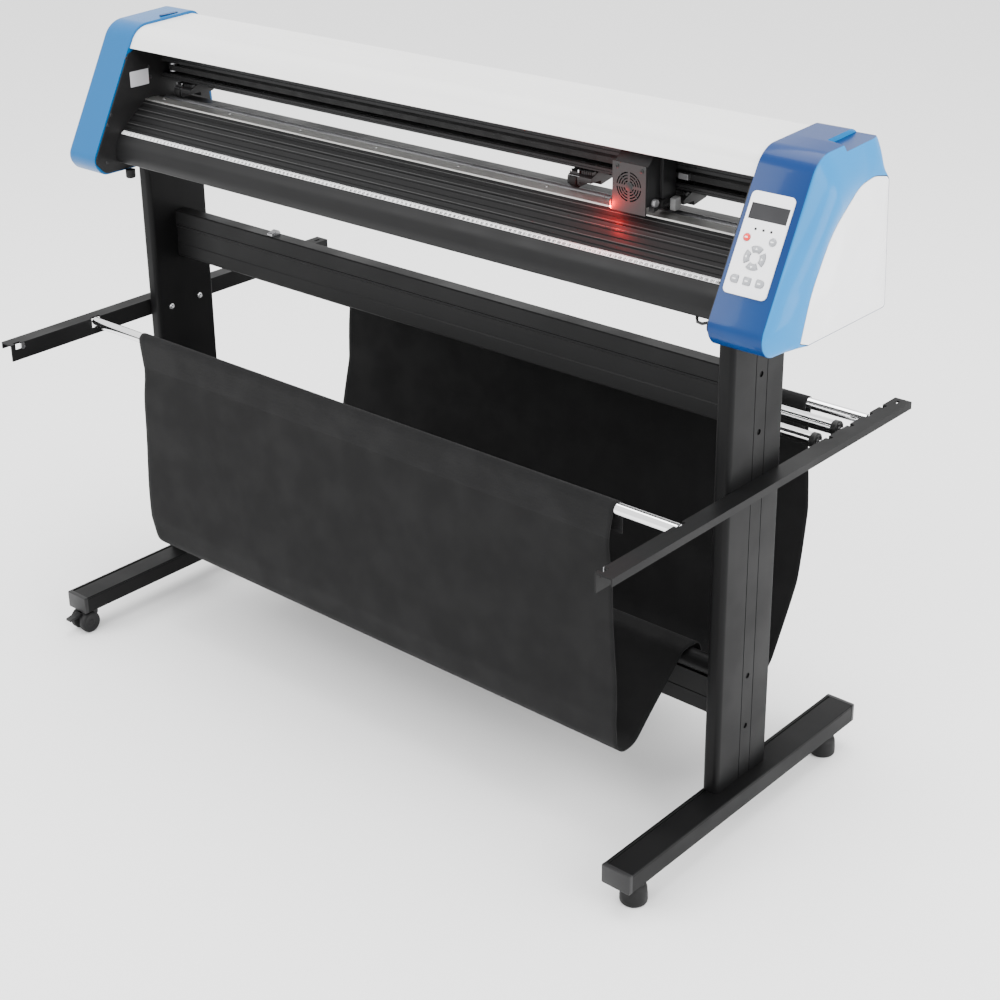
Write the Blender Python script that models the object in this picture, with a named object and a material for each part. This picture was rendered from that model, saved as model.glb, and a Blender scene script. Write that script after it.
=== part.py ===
"""Roll-fed drag-knife cutter on a wheeled stand, with a cloth catch basket.

X runs along the machine, Y points to its back and Z up. The origin is on the
floor, under the middle of the machine. Sizes below are in millimetres.
"""

import math

import bmesh
import bpy
import numpy as np

MM = 0.001
GAP = 0.3            # clearance between pieces that touch
ROUND = 28           # sides of a round piece

# Stand
FOOT_Y = (-353.5, 308.5)
FOOT_Z = (50.0, 84.0)
FOOT_WIDTH = 55.0
POST_WIDTH = 30.0
POST_Y = (-84.5, 57.5)
POST_TOP = 935.7
RIGHT_POST_X = 639.5     # inner face of the right post
LEFT_POST_X = -735.5     # outer face of the left post
BEAM_Y = (-23.4, 6.6)
UPPER_BEAM_Z = (724.0, 817.0)
LOWER_BEAM_Z = (188.0, 256.0)
TUBE_RADIUS = 17.0       # round top of the lower beam, which carries the cloth
TUBE_CENTRE = (-10.0, 272.0)
BOLT_HOLE_Z = (181.8, 277.8, 716.7, 814.0)
BOLT_HOLE_Y = -6.3

# Support arms, bars and media rollers
ARM_Y = (-417.5, 417.5)
ARM_Z = (605.0, 638.0)
ARM_DEPTH = 32.0
ARM_WALL = 3.0
BAR_RADIUS = 10.0
BAR_Z = 628.0
FRONT_BAR_Y = -217.0
REAR_BAR_Y = 322.4
ROLLER_RADIUS = 12.5
ROLLER_Z = 624.8
ROLLER_Y = (199.4, 265.5)

# Cloth basket
CLOTH_X = (-590.0, 558.0)
CLOTH = 3.0

# Machine
LEFT_CAP_X = (-816.5, -733.7)
RIGHT_CAP_X = (690.0, 783.0)
COVER_X = 816.5
PLATE = 3.0
CAP_WALL = 2.6
CAP_CORNERS = [(-170, 916, 14), (-191, 944, 14), (-62, 1189, 50),
               (98, 1196, 24), (112, 1080, 60), (123, 916, 8)]
FACE_LOW = (-191.0, 944.0)
FACE_HIGH = (-62.0, 1189.0)
PLATFORM_TOP = 1043.0
BELT_Z = (1096.0, 1106.0)
PULLEY_RADIUS = 8.0
PULLEY_X = (-708.0, 665.0)
PULLEY_Y = 4.0
GRIT_RADIUS = 9.0
GRIT_AXIS = (-5.0, 1035.7)
PINCH_RADIUS = 11.0
PINCH_X = (-680.0, 302.0, 484.0)
PINCH_SHAFT = (40.0, 1066.0)

# Carriage
HEAD_X = (434.5, 497.0)
FAN_CENTRE = (464.0, 1091.6)
FAN_RADIUS = 22.0
TOOL = (444.0, -40.0)

# Casters under the left foot
CASTER_TRAIL = 19.0
CASTER_Y = (-318.0, 270.0)
WHEEL_RADIUS = 22.0
BRAKE_PIVOT = (-351.5, 38.5)


# ---------------------------------------------------------------- helpers

def clear_scene():
    for obj in list(bpy.data.objects):
        bpy.data.objects.remove(obj, do_unlink=True)


def material(name, colour, roughness, metallic=0.0):
    mat = bpy.data.materials.new(name)
    mat.use_nodes = True
    shader = mat.node_tree.nodes["Principled BSDF"]
    shader.inputs["Base Color"].default_value = (*colour, 1.0)
    shader.inputs["Roughness"].default_value = roughness
    shader.inputs["Metallic"].default_value = metallic
    return mat


def solid(name, verts, faces, mat, origin=(0, 0, 0), smooth=False):
    """An object from millimetre points, with its own origin at a millimetre point."""
    mesh = bpy.data.meshes.new(name)
    points = (np.array(verts, float) - np.array(origin, float)) * MM
    mesh.from_pydata(points.tolist(), [], [list(map(int, f)) for f in faces])
    work = bmesh.new()
    work.from_mesh(mesh)
    bmesh.ops.recalc_face_normals(work, faces=work.faces)
    work.to_mesh(mesh)
    work.free()
    if mat is not None:
        mesh.materials.append(mat)
    if smooth:
        mesh.shade_smooth()
        mesh.set_sharp_from_angle(angle=math.radians(35))
    obj = bpy.data.objects.new(name, mesh)
    obj.location = np.array(origin, float) * MM
    bpy.context.scene.collection.objects.link(obj)
    return obj


def place(outline, level, axis):
    """3-D points of a flat outline: (y, z) across X, (x, z) across Y or (x, y) across Z."""
    order = {"X": lambda a, b: (level, a, b),
             "Y": lambda a, b: (a, level, b),
             "Z": lambda a, b: (a, b, level)}[axis]
    return [order(a, b) for a, b in outline]


def skin(rings, close_ends=True):
    """Faces that join rings of equal count, one after another."""
    count = len(rings[0])
    verts = [p for ring in rings for p in ring]
    faces = []
    for k in range(len(rings) - 1):
        for i in range(count):
            j = (i + 1) % count
            a, b = k * count, (k + 1) * count
            faces.append((a + i, a + j, b + j, b + i))
    if close_ends:
        faces.append(tuple(range(count))[::-1])
        last = (len(rings) - 1) * count
        faces.append(tuple(range(last, last + count)))
    return verts, faces


def prism(outline, low, high, axis):
    return skin([place(outline, low, axis), place(outline, high, axis)])


def loop_of_rings(rings):
    """A ring-shaped solid: the last ring joins the first."""
    verts, faces = skin(rings, close_ends=False)
    count = len(rings[0])
    last = (len(rings) - 1) * count
    for i in range(count):
        j = (i + 1) % count
        faces.append((last + i, last + j, j, i))
    return verts, faces


def box(low, high):
    (x0, y0, z0), (x1, y1, z1) = low, high
    return prism([(x0, y0), (x1, y0), (x1, y1), (x0, y1)], z0, z1, "Z")


def join(*shapes):
    """Several point and face lists as one list, for cutters."""
    verts, faces = [], []
    for part_verts, part_faces in shapes:
        base = len(verts)
        verts += list(part_verts)
        faces += [tuple(i + base for i in f) for f in part_faces]
    return verts, faces


def turned(profile, centre, axis, sides=ROUND):
    """A turned solid. profile is (position along the axis, radius) from end to end."""
    rings = []
    for along, radius in profile:
        ring = []
        for k in range(sides):
            turn = 2 * math.pi * k / sides
            a, b = radius * math.cos(turn), radius * math.sin(turn)
            ring.append({"X": (along, centre[0] + a, centre[1] + b),
                         "Y": (centre[0] + a, along, centre[1] + b),
                         "Z": (centre[0] + a, centre[1] + b, along)}[axis])
        rings.append(ring)
    return skin(rings)


def cylinder(centre, radius, low, high, axis, sides=ROUND):
    return turned([(low, radius), (high, radius)], centre, axis, sides)


def fillet(corners, closed=True, step=14.0):
    """An outline from corners (a, b, radius), each rounded by an arc."""
    points = []
    count = len(corners)
    for i, corner in enumerate(corners):
        here = np.array(corner[:2], float)
        radius = corner[2] if len(corner) > 2 else 0.0
        at_end = not closed and i in (0, count - 1)
        if radius <= 0 or at_end:
            points.append(tuple(here))
            continue
        back = np.array(corners[i - 1][:2], float) - here
        ahead = np.array(corners[(i + 1) % count][:2], float) - here
        back /= np.linalg.norm(back)
        ahead /= np.linalg.norm(ahead)
        inner = math.acos(np.clip(back @ ahead, -1, 1))
        turn = math.pi - inner
        reach = radius / math.tan(inner / 2)
        bisector = (back + ahead) / np.linalg.norm(back + ahead)
        centre = here + bisector * radius / math.sin(inner / 2)
        start = here + back * reach - centre
        way = 1.0 if start[1] * back[0] - start[0] * back[1] > 0 else -1.0
        pieces = max(1, round(math.degrees(turn) / step))
        for k in range(pieces + 1):
            angle = way * turn * k / pieces
            c, s = math.cos(angle), math.sin(angle)
            points.append((centre[0] + start[0] * c - start[1] * s,
                           centre[1] + start[0] * s + start[1] * c))
    return points


def inset(outline, distance):
    """A closed outline moved inwards, each point along the bisector of its two edges."""
    pts = np.array(outline, float)
    ahead = np.roll(pts, -1, 0) - pts
    ahead /= np.linalg.norm(ahead, axis=1)[:, None]
    back = np.roll(ahead, 1, 0)
    area = np.sum(pts[:, 0] * np.roll(pts[:, 1], -1) - np.roll(pts[:, 0], -1) * pts[:, 1])
    side = 1.0 if area > 0 else -1.0
    normal = np.stack([-ahead[:, 1] - back[:, 1], ahead[:, 0] + back[:, 0]], 1) * side
    length = np.linalg.norm(normal, axis=1)
    scale = 2 * distance / length ** 2
    return [tuple(p) for p in pts + normal * scale[:, None]]


def band(path, thickness):
    """A closed outline round an open path, thickness to its right-hand side."""
    pts = np.array(path, float)
    edge = np.diff(pts, axis=0)
    edge /= np.linalg.norm(edge, axis=1)[:, None]
    first = np.vstack([edge[:1], edge])
    second = np.vstack([edge, edge[-1:]])
    normal = np.stack([(first + second)[:, 1], -(first + second)[:, 0]], 1)
    normal *= (2 / np.sum(normal ** 2, axis=1))[:, None]
    other = pts + normal * thickness
    return [tuple(p) for p in pts] + [tuple(p) for p in other[::-1]]


def cut(obj, shape, name, kind="DIFFERENCE"):
    """Cuts a shape out of obj, or adds it, by a Boolean with a hidden helper object."""
    helper = solid(name, *shape, None)
    helper.hide_render = True
    helper.display_type = "WIRE"
    modifier = obj.modifiers.new(name, "BOOLEAN")
    modifier.operation = kind
    modifier.solver = "EXACT"
    modifier.object = helper
    return obj


def soften(obj, width, segments=2, angle=50):
    modifier = obj.modifiers.new("edge", "BEVEL")
    modifier.width = width * MM
    modifier.segments = segments
    modifier.limit_method = "ANGLE"
    modifier.angle_limit = math.radians(angle)
    return obj


def on_face(x, along, out):
    """A point of the sloping front face: along it from its lower edge, and out of it."""
    run = np.array(FACE_HIGH) - np.array(FACE_LOW)
    run /= np.linalg.norm(run)
    y = FACE_LOW[0] + run[0] * along - run[1] * out
    z = FACE_LOW[1] + run[1] * along + run[0] * out
    return (x, y, z)


# ---------------------------------------------------------------- stand

def build_foot(name, x0, mats):
    z0, z1 = FOOT_Z
    x1 = x0 + FOOT_WIDTH
    outline = [(x0, z0), (x1, z0), (x1, z1 - 2), (x1 - 2, z1), (x0 + 9, z1),
               (x0 + 9, z1 - 1.5), (x0 + 6, z1 - 1.5), (x0 + 6, z1), (x0 + 2, z1), (x0, z1 - 2)]
    foot = solid(name, *prism(outline, *FOOT_Y, "Y"), mats["black"])
    hollow = box((x0 + 3, -230, z0 - 5), (x1 - 3, 190, z1 - 5))
    cut(foot, hollow, name + "_hollow")


def build_rubber_foot(name, x, y, mats):
    profile = [(0, 21), (2.5, 23), (30, 21.5), (34, 17), (FOOT_Z[0] - GAP, 17)]
    solid(name, *turned(profile, (x, y), "Z"), mats["rubber"], (x, y, 0), smooth=True)


def build_post(name, x0, outer_side, mats):
    """A hollow extrusion with rounded front corners and two grooves on its outer side."""
    x1 = x0 + POST_WIDTH
    y0, y1 = POST_Y
    corners = [(x0, y0, 9), (x1, y0, 9), (x1, y1, 2), (x0, y1, 2)]
    outline = fillet(corners, step=22)
    z0, z1 = FOOT_Z[1] + GAP, POST_TOP
    inner = inset(outline, 3.0)
    rings = [place(outline, z0, "Z"), place(outline, z1, "Z"),
             place(inner, z1, "Z"), place(inner, z0, "Z")]
    post = solid(name, *loop_of_rings(rings), mats["black"], smooth=True)
    face = x1 if outer_side > 0 else x0
    cuts = []
    for y in (-20.9, 10.3):
        cuts.append(box((face - 1, y - 1, z0 - 5), (face + 1, y + 1, z1 + 5)))
    for z in BOLT_HOLE_Z:
        cuts.append(cylinder((BOLT_HOLE_Y, z), 4.2, face - 4, face + 4, "X", 16))
    cut(post, join(*cuts), name + "_grooves")


def build_beams(mats):
    x0 = LEFT_POST_X + POST_WIDTH + GAP
    x1 = RIGHT_POST_X - GAP
    y0, y1 = BEAM_Y
    z0, z1 = UPPER_BEAM_Z
    outline = [(y0, z0), (y0, 750), (y0 + 1.5, 751), (y0 + 1.5, 783), (y0 - 0.2, 784.5),
               (y0 - 0.2, 787), (y0 + 0.8, 788), (y0, 789), (y0, z1 - 2), (y0 + 2, z1),
               (y1, z1), (y1, z0 - 8), (y1 - 16, z0 - 8), (y1 - 16, z0)]
    upper = solid("upper_cross_beam", *prism(outline, x0, x1, "X"), mats["black"])
    cut(upper, box((x0 - 9, y0 + 4.5, z0 + 4), (x1 + 9, y1 - 3, z1 - 4)), "upper_beam_hollow")
    z0, z1 = LOWER_BEAM_Z
    cy, cz = TUBE_CENTRE
    half = math.acos((cz - z1) / TUBE_RADIUS)
    arc = []
    for k in range(17):
        turn = -math.pi / 2 - half - k * (2 * math.pi - 2 * half) / 16
        arc.append((cy + TUBE_RADIUS * math.cos(turn), cz + TUBE_RADIUS * math.sin(turn)))
    outline = [(y0, z0), (y0, 217), (y0 + 1, 218), (y0, 219), (y0, z1)] + arc + [(y1, z1), (y1, z0)]
    lower = solid("lower_cross_beam", *prism(outline, x0, x1, "X"), mats["black"], smooth=True)
    cut(lower, box((x0 - 9, y0 + 3, z0 + 3), (x1 + 9, y1 - 3, z1 - 3)), "lower_beam_hollow")


def build_arm(name, side, mats):
    """A bent steel arm: a web against the post, a flange on top and a short lip."""
    face = RIGHT_POST_X + POST_WIDTH + GAP if side > 0 else LEFT_POST_X - GAP
    z0, z1 = ARM_Z
    reach, wall = ARM_DEPTH, ARM_WALL
    section = [(0, z0), (wall, z0), (wall, z1 - wall), (reach - 2.5, z1 - wall),
               (reach - 2.5, z1 - 13), (reach, z1 - 13), (reach, z1), (0, z1)]
    outline = [(face + side * a, z) for a, z in section]
    arm = solid(name, *prism(outline, *ARM_Y, "Y"), mats["black"])
    cuts = []

    def notch(y, half, depth, across):
        xs = sorted((face - side * 2, face + side * across))
        cuts.append(box((xs[0], y - half, z1 - depth), (xs[1], y + half, z1 + 3)))

    for y in (FRONT_BAR_Y, REAR_BAR_Y):
        notch(y, BAR_RADIUS + 0.8, z1 - BAR_Z + BAR_RADIUS + GAP, 7.0)
    for y in ROLLER_Y:
        notch(y, 4.6, z1 - ROLLER_Z + 4.4, 9.0)
    notch(ARM_Y[0] + 16, 7.0, 12.0, 9.0)
    notch(ARM_Y[1] - 48, 6.0, 12.0, 9.0)
    xs = sorted((face + side * 10, face + side * 16))
    cuts.append(box((xs[0], ARM_Y[1] - 26, z1 - 6), (xs[1], ARM_Y[1] - 12, z1 + 3)))
    cut(arm, join(*cuts), name + "_notches")


def arm_span():
    """Where a bar ends, at the outer faces of the two arms' webs."""
    return LEFT_POST_X - GAP - ARM_WALL, RIGHT_POST_X + POST_WIDTH + GAP + ARM_WALL


def build_bars_and_rollers(mats):
    x0, x1 = arm_span()
    for name, y in (("front_basket_bar", FRONT_BAR_Y), ("rear_basket_bar", REAR_BAR_Y)):
        shape = cylinder((y, BAR_Z), BAR_RADIUS, x0, x1, "X", 24)
        solid(name, *shape, mats["chrome"], (0, y, BAR_Z), smooth=True)
    for name, y in zip(("media_roller_front", "media_roller_rear"), ROLLER_Y):
        a, b = x0 + 20, x1 - 20
        profile = [(x0, 4), (a, 4), (a, 14), (a + 11, 14), (a + 11, ROLLER_RADIUS),
                   (b - 11, ROLLER_RADIUS), (b - 11, 14), (b, 14), (b, 4), (x1, 4)]
        shape = turned(profile, (y, ROLLER_Z), "X", 24)
        solid(name, *shape, mats["chrome"], (0, y, ROLLER_Z), smooth=True)


def basket_path():
    """The cloth's line in the Y-Z plane: round the front bar, down into the front pocket,
    over the lower beam, down into the rear pocket, and up round the rear bar."""
    cling = BAR_RADIUS + 0.6
    front = [(FRONT_BAR_Y + cling, 578)]
    for k in range(9):
        turn = math.pi * k / 8
        front.append((FRONT_BAR_Y + cling * math.cos(turn), BAR_Z + cling * math.sin(turn)))
    left = FRONT_BAR_Y - cling
    top = TUBE_CENTRE[1] + TUBE_RADIUS + CLOTH + 0.6
    pockets = [(left, 250, 60), (left + 12, 180, 34), (-165, 179, 40), (-60, 268, 60),
               (-32, top, 16), (12, top, 14), (34, 240, 40), (86, 138, 60),
               (150, 112, 70), (232, 138, 70), (304, 290, 90), (REAR_BAR_Y + cling, 420, 90)]
    rear = []
    for k in range(9):
        turn = math.pi * k / 8
        rear.append((REAR_BAR_Y + cling * math.cos(turn), BAR_Z + cling * math.sin(turn)))
    rear.append((REAR_BAR_Y - cling, 578))
    middle = fillet([front[-1]] + pockets + [rear[0]], closed=False, step=16)
    return front + middle[1:-1] + rear


def build_basket(mats):
    outline = band(basket_path(), CLOTH)
    solid("fabric_basket", *prism(outline, *CLOTH_X, "X"), mats["cloth"], smooth=True)


# ---------------------------------------------------------------- machine body

def build_platform(mats):
    """A hollow table extrusion: rounded front, grooved slope, flat top and a roller slot."""
    low, high = (-124.0, 989.2), (-56.0, PLATFORM_TOP)
    run = np.array(high) - np.array(low)
    slope = []
    for share in (0.30, 0.44, 0.58, 0.72, 0.86):
        base = np.array(low) + run * share
        across = run / np.linalg.norm(run)
        down = np.array([across[1], -across[0]])
        for step, depth in ((-1.2, 0), (-0.9, 1.2), (0.9, 1.2), (1.2, 0)):
            slope.append(tuple(base + across * step + down * depth))
    front = [(-134, 936, 3), (-138, 950, 30), (-133.5, 976, 40), low + (3,)]
    outline = fillet([(60, 936)] + front, closed=False, step=12)[1:-1] + [low] + slope + [high]
    outline += [(-17, PLATFORM_TOP), (-17, 1024), (7, 1024), (7, 1040), (34, 1040),
                (58, 1008), (60, 936)]
    x0, x1 = LEFT_CAP_X[1] + GAP + PLATE + GAP, RIGHT_CAP_X[0] - GAP - PLATE - GAP
    table = solid("platform", *prism(outline, x0, x1, "X"), mats["black"], smooth=True)
    inner = [(-129, 941), (-130, 972), (-119, 985), (-60, 1032), (-22, 1037), (-22, 1019),
             (12, 1019), (12, 1034), (32, 1034), (54, 1004), (55, 941)]
    cut(table, prism(inner, x0 - 5, x1 + 5, "X"), "platform_hollow")
    strip = box((x0 + 1, -55.5, PLATFORM_TOP + GAP), (x1 - 1, -24, PLATFORM_TOP + 3))
    solid("cutting_strip", *strip, mats["silver"])


def post_notch():
    """The room the left post's head takes out of the cap and the plate beside it."""
    return box((LEFT_POST_X - 0.5, POST_Y[0] - 0.5, 905), (LEFT_POST_X + 20, POST_Y[1] + 0.5, 936.2))


def build_side_plates(mats):
    corners = [(-164, 919, 14), (-186.5, 945, 12), (-86, 1138, 3), (-68, 1144, 8),
               (-56, 1172, 16), (90, 1180, 10), (100, 1085, 30), (117, 960, 40), (118, 919, 6)]
    outline = fillet(corners, step=20)
    left = LEFT_CAP_X[1] + GAP
    right = RIGHT_CAP_X[0] - GAP - PLATE
    plate = solid("left_side_plate", *prism(outline, left, left + PLATE, "X"), mats["black"])
    cut(plate, post_notch(), "plate_post_notch")
    plate = solid("right_side_plate", *prism(outline, right, right + PLATE, "X"), mats["black"])
    cut(plate, cylinder(GRIT_AXIS, 6.0, right - 5, right + 8, "X", 20), "shaft_hole")


def build_left_cap(mats):
    outline = fillet(CAP_CORNERS)
    x1, x0 = LEFT_CAP_X[1], LEFT_CAP_X[0]
    inner = inset(outline, CAP_WALL)
    rings = [place(outline, x1, "X"), place(outline, x0 + 9, "X"),
             place(inset(outline, 1.2), x0 + 4, "X"), place(inset(outline, 4.5), x0, "X")]
    count = len(outline)
    verts, faces = skin(rings)
    faces = faces[:-2] + [faces[-1]]
    base = len(verts)
    verts += place(inner, x1, "X") + place(inset(outline, 4.6), x0 + CAP_WALL + 1, "X")
    for i in range(count):
        j = (i + 1) % count
        faces.append((i, j, base + j, base + i))
        faces.append((base + i, base + j, base + count + j, base + count + i))
    faces.append(tuple(range(base + count, base + 2 * count)))
    cap = solid("left_cap", verts, faces, mats["azure"], smooth=True)
    cut(cap, box((-790.6, 90, 949.4), (-761.4, 140, 974.6)), "inlet_hole")
    cut(cap, post_notch(), "cap_post_notch")


def star(outline, angles, centre):
    """Points where rays from centre cross an outline, one for each angle."""
    pts = np.array(outline, float) - np.array(centre, float)
    nxt = np.roll(pts, -1, 0)
    found = []
    for turn in angles:
        ray = np.array([math.cos(turn), math.sin(turn)])
        edge = nxt - pts
        cross = ray[0] * edge[:, 1] - ray[1] * edge[:, 0]
        cross = np.where(np.abs(cross) < 1e-9, 1e-9, cross)
        far = (pts[:, 0] * edge[:, 1] - pts[:, 1] * edge[:, 0]) / cross
        share = (pts[:, 0] * ray[1] - pts[:, 1] * ray[0]) / cross
        good = (share >= -1e-9) & (share <= 1 + 1e-9) & (far > 0)
        found.append(ray * far[good].max())
    return np.array(found) + np.array(centre, float)


COVER_PIVOT = (30.0, 1000.0)
COVER_CORNERS = [(-117, 919, 6), (-92, 998, 200), (-44, 1078, 160), (26, 1131, 60),
                 (66, 1137, 60), (107, 1128, 12), (109.5, 1080, 50), (120.5, 919, 6)]


def right_outlines():
    """The cap's outline and the cover's, met by the same rays from one pivot."""
    cap = fillet(CAP_CORNERS)
    cover = fillet(COVER_CORNERS, step=10)
    centre = np.array(COVER_PIVOT)
    ways = np.vstack([np.array(cap) - centre, np.array(cover) - centre])
    angles = np.sort(np.arctan2(ways[:, 1], ways[:, 0]))
    keep = [angles[0]]
    for turn in angles[1:]:
        if turn - keep[-1] > math.radians(1.2):
            keep.append(turn)
    return star(cap, keep, centre), star(cover, keep, centre)


def build_right_cap(mats):
    """A cup that wraps the front and top, with a domed side round the seat of the cover."""
    cap, cover = right_outlines()
    x0, x1 = RIGHT_CAP_X
    rings = [place(cap, x0, "X"), place(cap, x1, "X")]
    for share, rise in ((0.12, 5), (0.4, 11), (0.75, 16), (1.0, 18)):
        rings.append(place(cap + (cover - cap) * share, x1 + rise, "X"))
    seat = COVER_PIVOT + (cover - COVER_PIVOT) * 0.999
    rings.append(place(seat, x1 + 3, "X"))
    verts, faces = skin(rings)
    faces = faces[:-2] + [faces[-1]]
    inner = inset(cap, CAP_WALL)
    base, count = len(verts), len(cap)
    verts += place(inner, x0, "X") + place(inner, x1 - 2, "X")
    for i in range(count):
        j = (i + 1) % count
        faces.append((i, j, base + j, base + i))
        faces.append((base + i, base + j, base + count + j, base + count + i))
    faces.append(tuple(range(base + count, base + 2 * count)))
    solid("right_cap", verts, faces, mats["blue"], smooth=True)


def build_right_cover(mats):
    """The pale domed cover on the outer side, hollow and open towards the cap."""
    _, cover = right_outlines()
    centre = np.array(COVER_PIVOT)
    base_x = RIGHT_CAP_X[1] + 3 + GAP
    edge_x = RIGHT_CAP_X[1] + 17.5
    outer = np.array(inset(cover, 0.9))
    rings = [place(outer, base_x, "X"), place(outer, edge_x, "X")]
    for share in (0.93, 0.8, 0.6, 0.35):
        rise = (COVER_X - edge_x) * (1 - share ** 2) / (1 - 0.35 ** 2)
        rings.append(place(centre + (outer - centre) * share, edge_x + rise, "X"))
    verts, faces = skin(rings)
    faces = faces[:-2] + [faces[-1]]
    inner = np.array(inset(cover, 3.4))
    start, count = len(verts), len(cover)
    verts += place(inner, base_x, "X") + place(inner, edge_x - 2, "X")
    verts += place(centre + (inner - centre) * 0.6, edge_x + 4, "X")
    for i in range(count):
        j = (i + 1) % count
        faces.append((i, j, start + j, start + i))
        for k in range(2):
            a, b = start + k * count, start + (k + 1) * count
            faces.append((a + i, a + j, b + j, b + i))
    faces.append(tuple(range(start + 2 * count, start + 3 * count)))
    solid("right_cover", verts, faces, mats["white"], smooth=True)


def build_hood(mats):
    corners = [(-79, 1148), (-60, 1184.5, 46), (96, 1190.5, 22), (108, 1085)]
    path = fillet(corners, closed=False, step=8)
    outline = band(path, 1.8)
    shape = prism(outline, LEFT_CAP_X[1] + GAP, RIGHT_CAP_X[0] - GAP, "X")
    solid("hood", *shape, mats["white"], smooth=True)


def build_carriage_beam(mats):
    """The guide beam: a deep belt channel in front between two ribs, and a hollow back."""
    outline = [(-8, 1079), (-8, 1087), (-5, 1088.5), (-5, 1089), (18, 1089), (18, 1111),
               (-5, 1111), (-8, 1112), (-8, 1123), (0, 1124), (0, 1150), (52, 1150), (52, 1079)]
    x0, x1 = LEFT_CAP_X[1] + PLATE + 2 * GAP, RIGHT_CAP_X[0] - PLATE - 2 * GAP
    beam = solid("carriage_beam", *prism(outline, x0, x1, "X"), mats["black"])
    hollow = box((x0 - 5, 24, 1085), (x1 + 5, 46, 1144))
    shaft = cylinder((PULLEY_X[1], PULLEY_Y), 3.2, 1105, 1155, "Z", 16)
    pin = cylinder((PULLEY_X[0], PULLEY_Y), 3.2, 1105, 1122, "Z", 16)
    cut(beam, join(hollow, shaft, pin), "beam_hollow")
    rod = cylinder(PINCH_SHAFT, 5.0, x0, x1, "X", 20)
    solid("pinch_shaft", *rod, mats["steel"], (0, *PINCH_SHAFT), smooth=True)


def build_belt_drive(mats):
    x0, x1 = PULLEY_X
    inner_r, thick = PULLEY_RADIUS + GAP, 1.2
    loops = []
    for radius in (inner_r, inner_r + thick):
        loop = []
        for centre, start in ((x1, -90), (x0, 90)):
            for k in range(9):
                turn = math.radians(start + 180 * k / 8)
                loop.append((centre + radius * math.cos(turn), PULLEY_Y + radius * math.sin(turn)))
        loops.append(loop)
    z0, z1 = BELT_Z
    rings = [place(loops[1], z0, "Z"), place(loops[1], z1, "Z"),
             place(loops[0], z1, "Z"), place(loops[0], z0, "Z")]
    solid("timing_belt", *loop_of_rings(rings), mats["rubber"])
    tops = {"idler_pulley": (x0, 1120), "drive_pulley": (x1, 1162)}
    for name, (x, top) in tops.items():
        profile = [(1093, PULLEY_RADIUS + 1), (1095, PULLEY_RADIUS + 1), (1095, PULLEY_RADIUS),
                   (1107, PULLEY_RADIUS), (1107, PULLEY_RADIUS + 1), (1109, PULLEY_RADIUS + 1),
                   (1109, 2.5), (top, 2.5)]
        shape = turned(profile, (x, PULLEY_Y), "Z", 20)
        solid(name, *shape, mats["steel"], (x, PULLEY_Y, 1101), smooth=True)
    x, y = x1, PULLEY_Y
    motor = solid("carriage_motor", *box((x - 20, y - 20, 1150.3), (x + 20, y + 20, 1181)),
                  mats["steel"])
    cut(motor, cylinder((x, y), 3.2, 1145, 1166, "Z", 16), "motor_bore")


def build_feed(mats):
    left = LEFT_CAP_X[1] + PLATE + 2 * GAP + 0.5
    profile = [(left, 5), (left + 3, 5), (left + 3, GRIT_RADIUS), (683, GRIT_RADIUS),
               (683, 5), (705, 5)]
    shape = turned(profile, GRIT_AXIS, "X", 24)
    solid("grit_roller", *shape, mats["steel"], (0, *GRIT_AXIS), smooth=True)
    y, z = GRIT_AXIS
    motor = solid("feed_motor", *box((694, y - 28, z - 28), (752, y + 28, z + 28)), mats["steel"])
    cut(motor, cylinder(GRIT_AXIS, 5.8, 690, 708, "X", 20), "feed_motor_bore")


def build_pinch(number, x, mats):
    """A wheel pressed on the grit roller by an arm that turns on the common shaft."""
    y, z = GRIT_AXIS[0], GRIT_AXIS[1] + GRIT_RADIUS + GAP + PINCH_RADIUS
    profile = [(x - 10.5, 3), (x - 7, 3), (x - 7, PINCH_RADIUS - 1), (x - 6, PINCH_RADIUS),
               (x + 6, PINCH_RADIUS), (x + 7, PINCH_RADIUS - 1), (x + 7, 3), (x + 10.5, 3)]
    shape = turned(profile, (y, z), "X", 24)
    solid(f"pinch_wheel_{number}", *shape, mats["rubber"], (x, y, z), smooth=True)
    sy, sz = PINCH_SHAFT
    corners = [(y - 8, z - 7, 5), (y + 10, z - 7, 3), (sy + 8, sz - 9, 4), (sy + 9, sz + 9, 6),
               (10, sz + 8.5, 3), (y - 8, z + 9, 6)]
    arm = solid(f"pinch_arm_{number}", *prism(fillet(corners, step=25), x - 12, x + 36, "X"),
                mats["black"], (x, sy, sz))
    wheel_bay = box((x - 7.8, y - 20, z - 20), (x + 7.8, y + PINCH_RADIUS + 1.2, z + 30))
    tail_bay = box((x + 12, y - 20, z - 20), (x + 50, 14, z + 2))
    axle = cylinder((y, z), 3.5, x - 20, x + 10.8, "X", 16)
    shaft = cylinder(PINCH_SHAFT, 5.5, x - 20, x + 50, "X", 20)
    cut(arm, wheel_bay, f"wheel_bay_{number}")
    cut(arm, tail_bay, f"tail_bay_{number}")
    cut(arm, axle, f"axle_hole_{number}")
    cut(arm, shaft, f"shaft_hole_{number}")


# ---------------------------------------------------------------- carriage

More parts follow.
